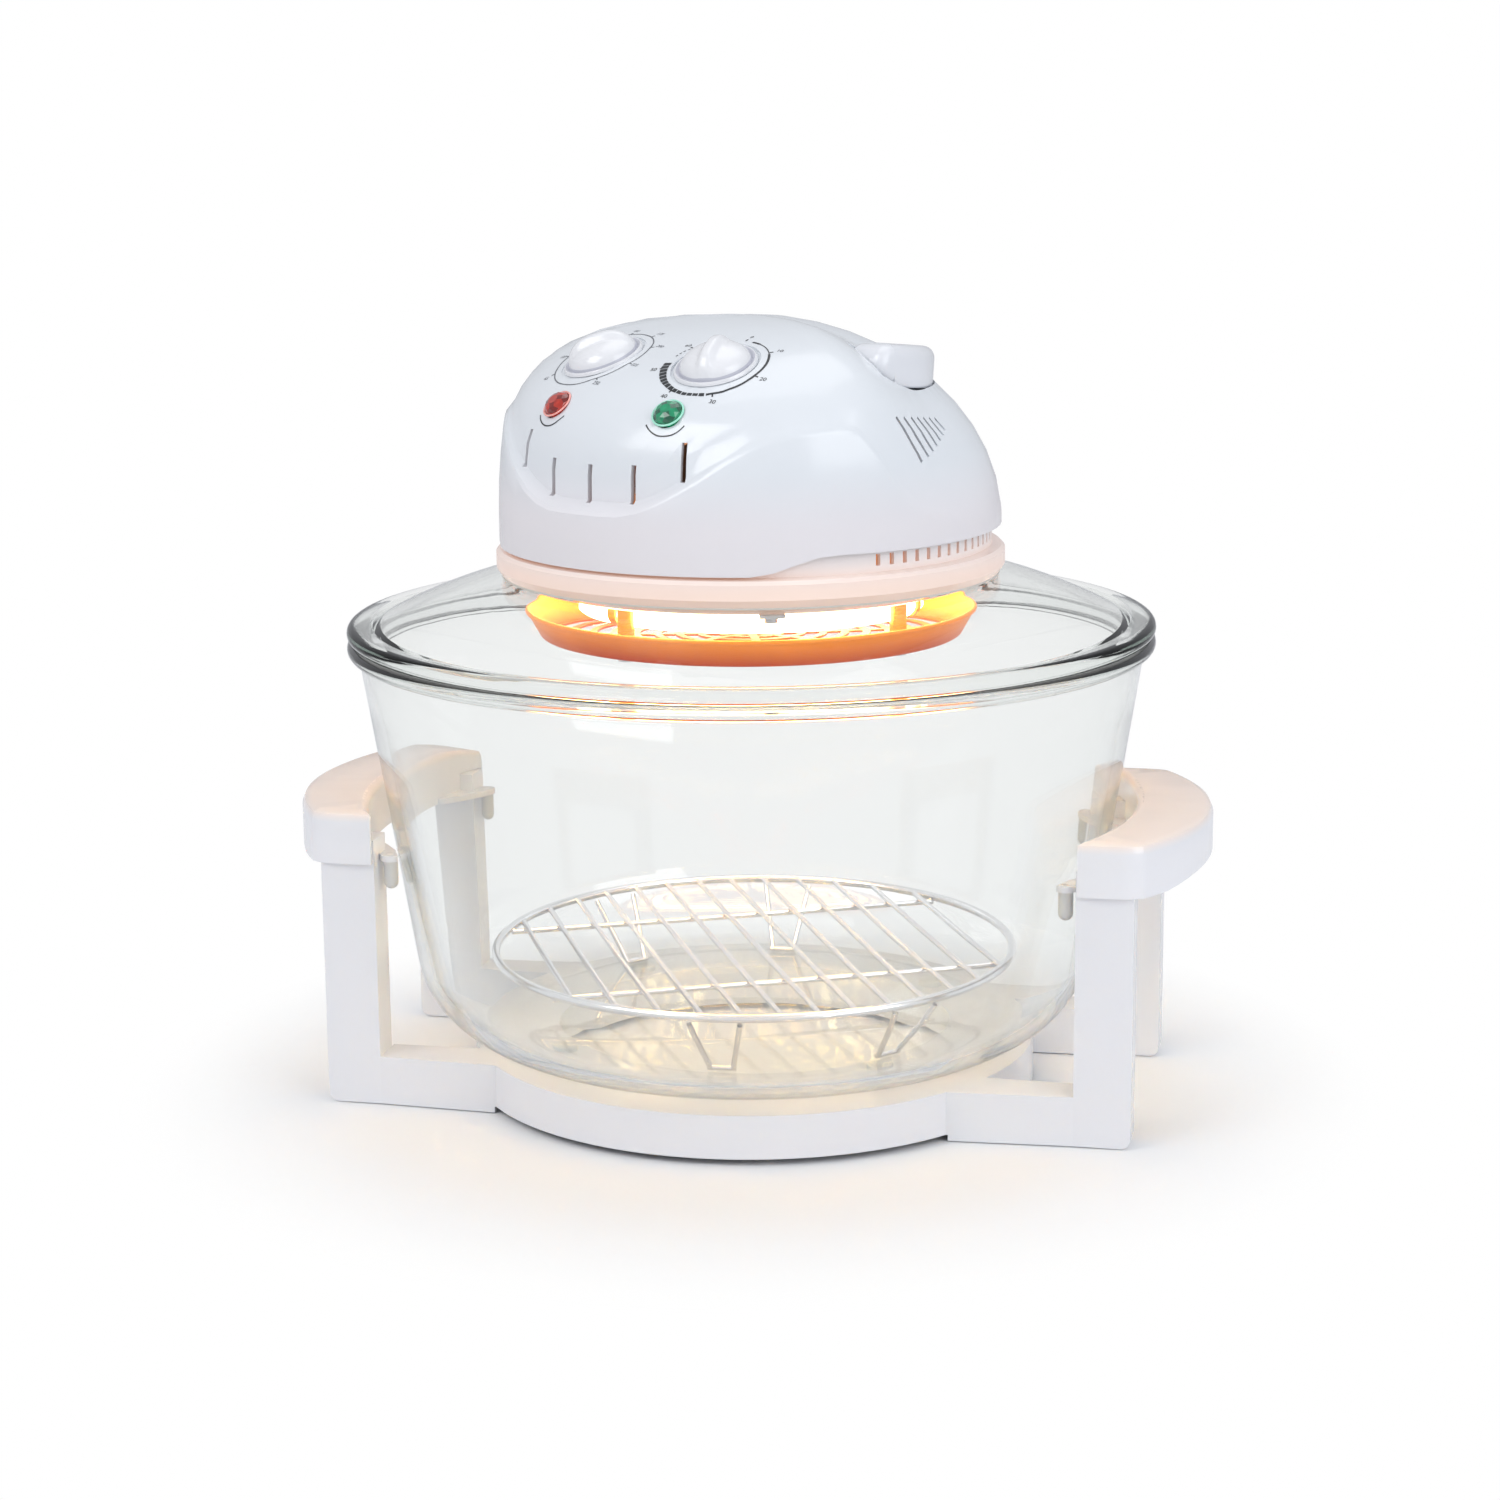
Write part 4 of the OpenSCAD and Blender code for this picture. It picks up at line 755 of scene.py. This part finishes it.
@dataclass
class Knob:
    """A domed dial with a rounded ridge across it, and painted shade on the dish round the dome.

    Sizes are in millimetres. lip_from, lip_to, edge_from and shade_within are shares of the radius.
    """

    face: DialFace
    radius: float = 17.0
    well: float = 1.6
    gap: float = 0.3
    dish: float = 0.7
    dome_r: float = 14.4
    dome_h: float = 7.6
    dome_corner: float = 2.6
    dome_fullness: float = 0.55
    ridge_h: float = 2.6
    ridge_flat: float = 1.0
    ridge_half: float = 4.6
    lip_h: float = 0.7
    lip_from: float = 0.86
    lip_to: float = 0.95
    edge_drop: float = 1.2
    edge_from: float = 0.955
    shade_below: float = 0.4
    shade_within: float = 0.94
    split_angle: float = 50.0
    rings: int = 40
    ring_crowding: float = 0.8
    columns: int = 128

    def dome(self, x: float, y: float) -> float:
        """Height of the dome and its ridge above the disc, at a place on the knob."""
        inside = max(0.0, 1.0 - (math.hypot(x, y) / self.dome_r) ** self.dome_corner)
        side = max(0.0, 1.0 - smoothstep(self.ridge_flat, self.ridge_half, abs(x)))
        return inside ** self.dome_fullness * (self.dome_h + self.ridge_h * side)

    def height(self, x: float, y: float) -> float:
        """Height of the top above the foot, at a place on the knob."""
        r = math.hypot(x, y) / self.radius
        rise = self.lip_h * smoothstep(self.lip_from, self.lip_to, r)
        fall = self.edge_drop * smoothstep(self.edge_from, 1.0, r) ** 2
        return self.dish + (rise - fall) + self.dome(x, y)

    def shell(self, place: Matrix) -> tuple[list[Vector], list[Face]]:
        """Points and faces of the knob, from the middle of its top outwards and then under it."""
        rings, columns = self.rings, self.columns
        low = self.gap - self.well
        points = [on_face(place, 0, 0, low + self.height(0, 0))]
        for i in range(1, rings + 1):
            r = self.radius * (i / rings) ** self.ring_crowding
            for j in range(columns):
                x, y = polar(r, 2 * math.pi * j / columns)
                points.append(on_face(place, x, y, low + self.height(x, y)))
        for j in range(columns):
            x, y = polar(self.radius, 2 * math.pi * j / columns)
            points.append(on_face(place, x, y, low))
        points.append(on_face(place, 0, 0, low))
        faces: list[Face] = [(0, 1 + j, 1 + (j + 1) % columns) for j in range(columns)]
        for i in range(rings):
            for j in range(columns):
                k = (j + 1) % columns
                a, b = 1 + i * columns, 1 + (i + 1) * columns
                faces.append((a + j, b + j, b + k, a + k))
        base = 1 + rings * columns
        faces += [(base + (j + 1) % columns, base + j, len(points) - 1) for j in range(columns)]
        return points, faces

    def build(self, node: str, turn: float, body: str) -> Piece:
        """Builds the knob.

        Args:
            node: the CAD knob it stands for.
            turn: the ridge's turn in its rest position, in degrees anticlockwise.
            body: the CAD body it rides on.

        Returns:
            The knob.
        """
        place = self.face.matrix() @ Matrix.Rotation(math.radians(turn), 4, "Z")
        points, faces = self.shell(place)
        piece = mesh_piece(node + "_top", points, faces, KNOB_WHITE, body)
        # Painted shade: dish faces beside the dome, inside the rim, take the grey finish.
        piece.data.materials.append(finish_material(DISH_SHADE))
        inverse = place.inverted()
        for polygon in piece.data.polygons:
            spot = inverse @ polygon.center / MM
            beside_dome = self.dome(spot.x, spot.y) < self.shade_below
            if beside_dome and math.hypot(spot.x, spot.y) < self.shade_within * self.radius:
                polygon.material_index = 1
        piece.modifiers.new("edges", "EDGE_SPLIT").split_angle = math.radians(self.split_angle)
        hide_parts(node)
        return piece


@dataclass
class Lens:
    """A cut lens, a table over two rows of facets, with a rounded rim whose pale glow is a painted halo.
    Sizes in millimetres.
    """

    face: DialFace
    radius: float = 5.9
    corners: int = 12
    table_r: float = 2.3
    table_h: float = 2.75
    waist_r: float = 4.3
    waist_h: float = 2.1
    bevel: float = 0.4
    bevel_h: float = 0.8
    edge_h: float = 0.3
    depth: float = 6.0
    rim_half: float = 0.45
    rim_h: float = 0.5
    rim_sunk: float = 0.25
    rim_across: int = 8
    rim_around: int = 48

    def rows(self) -> tuple[Point3, ...]:
        """Radius, height and shift of each row of corners, from the table down to the foot."""
        return ((self.table_r, self.table_h, 0.0), (self.waist_r, self.waist_h, 0.5),
                (self.radius - self.bevel, self.bevel_h, 0.0), (self.radius, self.edge_h, 0.5),
                (self.radius, -self.depth, 0.5))

    def build(self, node: str, finishes: tuple[Jewel, Jewel, Jewel]) -> Piece:
        """Builds the lens and its rim.

        Args:
            node: the CAD lens it stands for.
            finishes: those of the lit facets, of the facets with painted shade, and of the rim with its
                painted halo.

        Returns:
            The lens.
        """
        place = self.face.matrix()
        count, rows = self.corners, self.rows()
        points = []
        for radius, height, shift in rows:
            for j in range(count):
                x, y = polar(radius, 2 * math.pi * (j + shift) / count)
                points.append(on_face(place, x, y, height))
        faces: list[Face] = [tuple(range(count))]
        for i in range(len(rows) - 1):
            lead = rows[i + 1][2] - rows[i][2]
            for j in range(count):
                k = (j + 1) % count
                a, b = i * count, (i + 1) * count
                if lead > 0:
                    faces += [(a + j, b + j, a + k), (b + j, b + k, a + k)]
                elif lead < 0:
                    faces += [(a + j, b + j, b + k), (a + j, b + k, a + k)]
                else:
                    faces.append((a + j, b + j, b + k, a + k))
        faces.append(tuple(reversed(range((len(rows) - 1) * count, len(rows) * count))))
        piece = mesh_piece(node + "_cut", points, faces, finishes[0], "lid", smooth=False)
        piece.data.materials.append(finish_material(finishes[1]))
        for polygon in piece.data.polygons:
            # Painted light and shade: facets take the lit and the shaded finish in an uneven pattern, as
            # cut facets catch the light.
            polygon.material_index = (polygon.index * 5 // 3) % 2
        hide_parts(node)
        self.rim(node, place, finishes[2])
        return piece

    def rim(self, node: str, place: Matrix, finish: Jewel) -> Piece:
        """Builds the rounded rim, which lies on the panel and glows as a painted halo."""
        across, around = self.rim_across, self.rim_around
        points = []
        faces: list[Face] = []
        for i in range(around):
            for j in range(across):
                b = math.pi * j / (across - 1)
                r = self.radius + self.rim_half - self.rim_half * math.cos(b)
                x, y = polar(r, 2 * math.pi * i / around)
                points.append(on_face(place, x, y, self.rim_h * math.sin(b) - self.rim_sunk))
            for j in range(across - 1):
                k = (i + 1) % around
                faces.append((i * across + j, k * across + j, k * across + j + 1, i * across + j + 1))
        return mesh_piece(node + "_rim", points, faces, finish, "lid")


@dataclass(frozen=True)
class Marks:
    """How the lines and numbers of a printed scale are drawn, in millimetres."""

    length: float
    width: float
    number_out: float
    number_size: float


@dataclass
class PanelPrint:
    """Printed rings, ticks, plain numbers and arcs, laid on the housing's surface, in millimetres."""

    lift: float = 0.12
    drop_from: float = 12.0
    drop_reach: float = 40.0
    points: list[Vector] = field(default_factory=list)
    faces: list[Face] = field(default_factory=list)
    skin: BVHTree = field(init=False)

    def __post_init__(self) -> None:
        """Reads the housing's surface, which the print lies on."""
        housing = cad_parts["housing"]
        self.skin = BVHTree.FromObject(housing, bpy.context.evaluated_depsgraph_get())

    def drop(self, place: Matrix, x: float, y: float) -> Vector:
        """The point of the housing under (x, y) of a face's frame, lifted by the ink's thickness."""
        start = on_face(place, x, y, self.drop_from)
        down = -(place.to_3x3() @ Vector((0, 0, 1)))
        hit = self.skin.ray_cast(start, down, self.drop_reach * MM)[0]
        if hit is None:
            return on_face(place, x, y, 0.0)
        return hit - down * self.lift * MM

    def strip(self, place: Matrix, rails: Sequence[tuple[Point2, Point2]]) -> None:
        """Lays a strip between pairs of points."""
        base = len(self.points)
        for a, b in rails:
            self.points += [self.drop(place, *a), self.drop(place, *b)]
        for i in range(base, len(self.points) - 2, 2):
            self.faces.append((i, i + 1, i + 3, i + 2))

    def arc(self, place: Matrix, radius: float, width: float, start: float, end: float, steps: int) -> None:
        """Lays an arc. Angles are in degrees, clockwise from the top of the face."""
        inner, outer = radius - width / 2, radius + width / 2
        rails = []
        for i in range(steps + 1):
            a = math.radians(start + (end - start) * i / steps)
            s, c = math.sin(a), math.cos(a)
            rails.append(((inner * s, inner * c), (outer * s, outer * c)))
        self.strip(place, rails)

    def tick(self, place: Matrix, angle: float, inner: float, outer: float, width: float) -> None:
        """Lays a short radial line."""
        a = math.radians(angle)
        s, c = math.sin(a), math.cos(a)
        self.strip(place, [((r * s - w * c, r * c + w * s), (r * s + w * c, r * c - w * s))
                           for r, w in ((inner, width / 2), (outer, width / 2))])

    def number(self, place: Matrix, text: str, angle: float, radius: float, size: float) -> None:
        """Lays a plain number, upright, centred at a radius and angle."""
        curve = bpy.data.curves.new("number", "FONT")
        curve.body = text
        curve.size = size
        curve.align_x = "CENTER"
        curve.align_y = "CENTER"
        shape = bpy.data.objects.new("number", curve)
        mesh = shape.to_mesh()
        a = math.radians(angle)
        x, y = radius * math.sin(a), radius * math.cos(a)
        base = len(self.points)
        for vertex in mesh.vertices:
            self.points.append(self.drop(place, x + vertex.co.x, y + vertex.co.y))
        for polygon in mesh.polygons:
            self.faces.append(tuple(base + i for i in polygon.vertices))
        shape.to_mesh_clear()
        bpy.data.objects.remove(shape)
        bpy.data.curves.remove(curve)

    def scale(self, place: Matrix, texts: Sequence[str], start: float, span: float, radius: float,
              style: Marks) -> None:
        """Lays a line and a plain number outside a ring for each text.

        Args:
            place: the face's frame.
            texts: the numbers, clockwise.
            start: the first one's angle in degrees, clockwise from the top.
            span: the angle from the first to the last.
            radius: the ring's radius.
            style: how lines and numbers are drawn.
        """
        for i, text in enumerate(texts):
            angle = start + span * i / (len(texts) - 1)
            self.tick(place, angle, radius, radius + style.length, style.width)
            self.number(place, text, angle, radius + style.number_out, style.number_size)

    def finish(self, name: str, ink: Ink) -> Piece:
        """Turns what was laid into one piece."""
        return mesh_piece(name, self.points, self.faces, ink, "lid", smooth=False)


@dataclass
class Controls:
    """Dials, lenses and the print round them, in the head's frame, in millimetres and degrees."""

    dial_x: float = 30.0
    dial_y: float = -55.816
    dial_z: float = 311.1
    dial_yaw: float = 12.374
    dial_tilt: float = 22.854
    lens_x: float = 29.5
    lens_y: float = -83.702
    lens_z: float = 294.1
    lens_yaw: float = 12.164
    lens_tilt: float = 43.73
    thermostat_turn: float = -40.0
    timer_turn: float = 8.0
    ring_r: float = 21.4
    temperatures: tuple[str, ...] = ("65", "100", "125", "150", "175", "200", "225", "250")
    minutes: tuple[str, ...] = ("0", "10", "20", "30", "40", "50", "60")

    def dial(self, side: int) -> DialFace:
        """The dial on that side of the panel."""
        return DialFace(side * self.dial_x, self.dial_y, self.dial_z, side * self.dial_yaw, self.dial_tilt)

    def lens(self, side: int) -> DialFace:
        """The lens on that side of the panel."""
        return DialFace(side * self.lens_x, self.lens_y, self.lens_z, side * self.lens_yaw, self.lens_tilt)

    def build(self) -> None:
        """Builds the knobs, the lenses and the print."""
        Knob(self.dial(LEFT)).build("thermostat_knob", self.thermostat_turn, "thermostat_dial")
        Knob(self.dial(RIGHT)).build("timer_knob", self.timer_turn, "timer_dial")
        Lens(self.lens(LEFT)).build("power_lens", (RED_JEWEL, RED_SHADED_FACET, RED_HALO_RIM))
        Lens(self.lens(RIGHT)).build("heat_lens", (GREEN_JEWEL, GREEN_SHADED_FACET, GREEN_HALO_RIM))
        self.print_thermostat(self.dial(LEFT).matrix())
        self.print_timer(self.dial(RIGHT).matrix())
        self.print_arcs()

    def print_thermostat(self, place: Matrix) -> None:
        """Lays the left ring: a thin circle with ticks and plain temperatures."""
        ink = PanelPrint()
        ink.arc(place, self.ring_r, width=0.5, start=0, end=360, steps=120)
        style = Marks(length=1.7, width=0.55, number_out=4.1, number_size=2.7)
        ink.scale(place, self.temperatures, -135, 270, self.ring_r, style)
        ink.finish("thermostat_print", GREY_INK)

    def print_timer(self, place: Matrix) -> None:
        """Lays the right ring: a heavy notched band low on the left, a line on the right, dashes above."""
        ink = PanelPrint()
        ink.arc(place, self.ring_r, width=1.0, start=62, end=165, steps=64)
        ink.arc(place, self.ring_r, width=1.0, start=18, end=30, steps=8)
        dashes, dash_start, dash_span, dash = 12, 285, 68, 3.4
        for i in range(dashes):
            a = dash_start + dash_span * i / dashes
            ink.arc(place, self.ring_r, width=0.4, start=a, end=a + dash, steps=4)
        ink.arc(place, self.ring_r, width=0.45, start=30, end=62, steps=16)
        notches, band_start, band_span, band_share = 15, 167, 104, 0.84
        thin, growth, inset = 1.5, 1.7, 0.3
        for i in range(notches):
            a = band_start + band_span * i / notches
            b = band_start + band_span * (i + band_share) / notches
            width = thin + growth * smoothstep(0.1, 0.9, i / notches)
            ink.arc(place, self.ring_r - inset * i / notches, width, a, b, steps=6)
        style = Marks(length=1.8, width=0.6, number_out=4.4, number_size=2.9)
        ink.scale(place, self.minutes, 8, 300, self.ring_r, style)
        ink.finish("timer_print", BLACK_INK)

    def print_arcs(self) -> None:
        """Lays a thin arc under each lens."""
        ink = PanelPrint()
        for side in (LEFT, RIGHT):
            ink.arc(self.lens(side).matrix(), 9.6, width=0.55, start=118, end=236, steps=24)
        ink.finish("lens_print", BLACK_INK)


@dataclass
class VentGlowBand:
    """A glowing band behind the collar's vents, painted lamp light as the lamp below lights them, in
    millimetres and degrees.
    """

    radius: float = 97.0
    thickness: float = 0.8
    low: float = 233.7
    high: float = 240.8
    start: float = 64.0
    end: float = 158.0
    steps: int = 48

    def build(self) -> None:
        """Builds one band on each side."""
        inner = self.radius - self.thickness
        section = ((self.radius, self.low), (self.radius, self.high), (inner, self.high), (inner, self.low))
        for side, name in ((LEFT, "vent_glow_left"), (RIGHT, "vent_glow_right")):
            points, faces = [], []
            for i in range(self.steps + 1):
                a = math.radians(side * (self.start + (self.end - self.start) * i / self.steps))
                for radius, height in section:
                    spot = Vector((radius * math.sin(a), -radius * math.cos(a), height)) * MM
                    points.append(head_matrix() @ spot)
            for i in range(self.steps):
                for j in range(4):
                    k = (j + 1) % 4
                    faces.append((4 * i + j, 4 * i + k, 4 * i + 4 + k, 4 * i + 4 + j))
            mesh_piece(name, points, faces, VENT_GLOW, "lid")


@dataclass(frozen=True)
class SoftLight:
    """A square soft light: its place and side in metres, its power in watts and its colour."""

    name: str
    place: Point3
    side: float
    power: float
    color: Color


@dataclass
class Studio:
    """Floor, lights and the camera of the photograph, in metres, millimetres of lens and degrees."""

    focal: float = 76.8
    sensor: float = 36.0
    centre: Point3 = (0.2811, -1.2886, 0.4264)
    yaw: float = 12.35
    pitch: float = 12.139
    roll: float = -0.51
    view_end: float = 50.0
    floor_half: float = 6.0
    # The floor's grey diffuse, seen only near the object, is painted shadow round the base.
    shadow_floor_color: Color = (0.88, 0.885, 0.9)
    shadow_from: float = 0.15
    shadow_to: float = 0.27
    sky_color: Color = (0.93, 0.95, 1.0)
    sky_strength: float = 0.56
    aim: Point3 = (0.0, 0.0, 0.16)
    lights: tuple[SoftLight, ...] = (
        SoftLight("key", (-1.3, -1.5, 1.9), 1.4, 20.0, (1.0, 0.99, 0.98)),
        SoftLight("fill", (1.6, -1.0, 1.1), 1.4, 13.5, (0.96, 0.98, 1.0)),
        SoftLight("top", (0.1, 0.5, 2.2), 1.6, 8.0, WHITE))

    def camera(self) -> None:
        """Places the camera that the photograph was taken from."""
        yaw, pitch, roll = (math.radians(v) for v in (self.yaw, self.pitch, self.roll))
        ahead = Vector((-math.sin(yaw) * math.cos(pitch), math.cos(yaw) * math.cos(pitch),
                        -math.sin(pitch)))
        right = Vector((math.cos(yaw), math.sin(yaw), 0.0))
        up = Vector((-math.sin(yaw) * math.sin(pitch), math.cos(yaw) * math.sin(pitch), math.cos(pitch)))
        tilted_right = right * math.cos(roll) + up * math.sin(roll)
        tilted_up = up * math.cos(roll) - right * math.sin(roll)
        data = bpy.data.cameras.new("camera")
        data.lens = self.focal
        data.sensor_width = self.sensor
        data.clip_end = self.view_end
        eye = bpy.data.objects.new("camera", data)
        turn = Matrix((tilted_right, tilted_up, -ahead)).transposed()
        eye.matrix_world = Matrix.Translation(self.centre) @ turn.to_4x4()
        bpy.context.scene.collection.objects.link(eye)
        bpy.context.scene.camera = eye

    def hang(self, soft: SoftLight) -> None:
        """Hangs a light, turned towards the aim."""
        data = bpy.data.lights.new(soft.name, "AREA")
        data.size = soft.side
        data.energy = soft.power
        data.color = soft.color
        light = bpy.data.objects.new(soft.name, data)
        place = Vector(soft.place)
        light.location = place
        light.rotation_euler = (Vector(self.aim) - place).to_track_quat("-Z", "Y").to_euler()
        bpy.context.scene.collection.objects.link(light)

    def world(self) -> None:
        """Lights the set evenly, and shows white to the camera and through glass."""
        world = bpy.data.worlds.new("studio")
        bpy.context.scene.world = world
        world.use_nodes = True
        tree = world.node_tree
        tree.nodes.clear()
        out = tree.nodes.new("ShaderNodeOutputWorld")
        plain = tree.nodes.new("ShaderNodeBackground")
        set_inputs(plain, Color=rgba(self.sky_color), Strength=self.sky_strength)
        white = tree.nodes.new("ShaderNodeBackground")
        set_inputs(white, Color=rgba(WHITE), Strength=1.0)
        mix_shaders(tree, self.seen_directly(tree), plain.outputs["Background"],
                    white.outputs["Background"], out.inputs["Surface"])

    def seen_directly(self, tree: Tree) -> Socket:
        """A mask that is 1 for rays from the camera and through glass."""
        path = tree.nodes.new("ShaderNodeLightPath")
        seen = tree.nodes.new("ShaderNodeMath")
        seen.operation = "MAXIMUM"
        tree.links.new(path.outputs["Is Camera Ray"], seen.inputs[0])
        tree.links.new(path.outputs["Is Transmission Ray"], seen.inputs[1])
        return seen.outputs["Value"]

    def floor_material(self) -> Material:
        """Floor that near the object is a greyer diffuse, a painted shadow round the base that also takes
        the real shadows, and is plain white further off.
        """
        shader = Shader("floor_white")
        shader.set(Base_Color=rgba(self.shadow_floor_color), Roughness=0.9, Specular_IOR_Level=0.0)
        tree = shader.tree
        link = tree.links.new
        where = tree.nodes.new("ShaderNodeNewGeometry")
        away = tree.nodes.new("ShaderNodeVectorMath")
        away.operation = "LENGTH"
        link(where.outputs["Position"], away.inputs[0])
        fade = tree.nodes.new("ShaderNodeMapRange")
        fade.interpolation_type = "SMOOTHSTEP"
        set_inputs(fade, From_Min=self.shadow_from, From_Max=self.shadow_to)
        link(away.outputs["Value"], fade.inputs["Value"])
        amount = tree.nodes.new("ShaderNodeMath")
        amount.operation = "MULTIPLY"
        link(fade.outputs["Result"], amount.inputs[0])
        link(self.seen_directly(tree), amount.inputs[1])
        white = tree.nodes.new("ShaderNodeEmission")
        mix_shaders(tree, amount.outputs["Value"], shader.bsdf.outputs["BSDF"],
                    white.outputs["Emission"], tree.nodes["Material Output"].inputs["Surface"])
        return shader.material

    def floor(self) -> None:
        """Lays a floor that keeps the object's shadow and has painted shadow round the base."""
        half = self.floor_half
        mesh = bpy.data.meshes.new("floor")
        corners = [(-half, -half, 0), (half, -half, 0), (half, half, 0), (-half, half, 0)]
        mesh.from_pydata(corners, [], [(0, 1, 2, 3)])
        floor = bpy.data.objects.new("floor", mesh)
        mesh.materials.append(self.floor_material())
        bpy.context.scene.collection.objects.link(floor)

    def build(self) -> None:
        """Sets up the studio."""
        self.camera()
        self.world()
        self.floor()
        for soft in self.lights:
            self.hang(soft)
        bpy.context.scene.view_settings.view_transform = "Standard"


def main() -> None:
    """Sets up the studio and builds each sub-assembly."""
    logging.basicConfig(level=logging.INFO, format="%(message)s")
    Studio().build()
    for part in (Stand(), Cookware(), Head(), Heater(), VentGlowBand(), Controls()):
        part.build()
    bpy.context.view_layer.update()


if __name__ == "__main__":
    main()
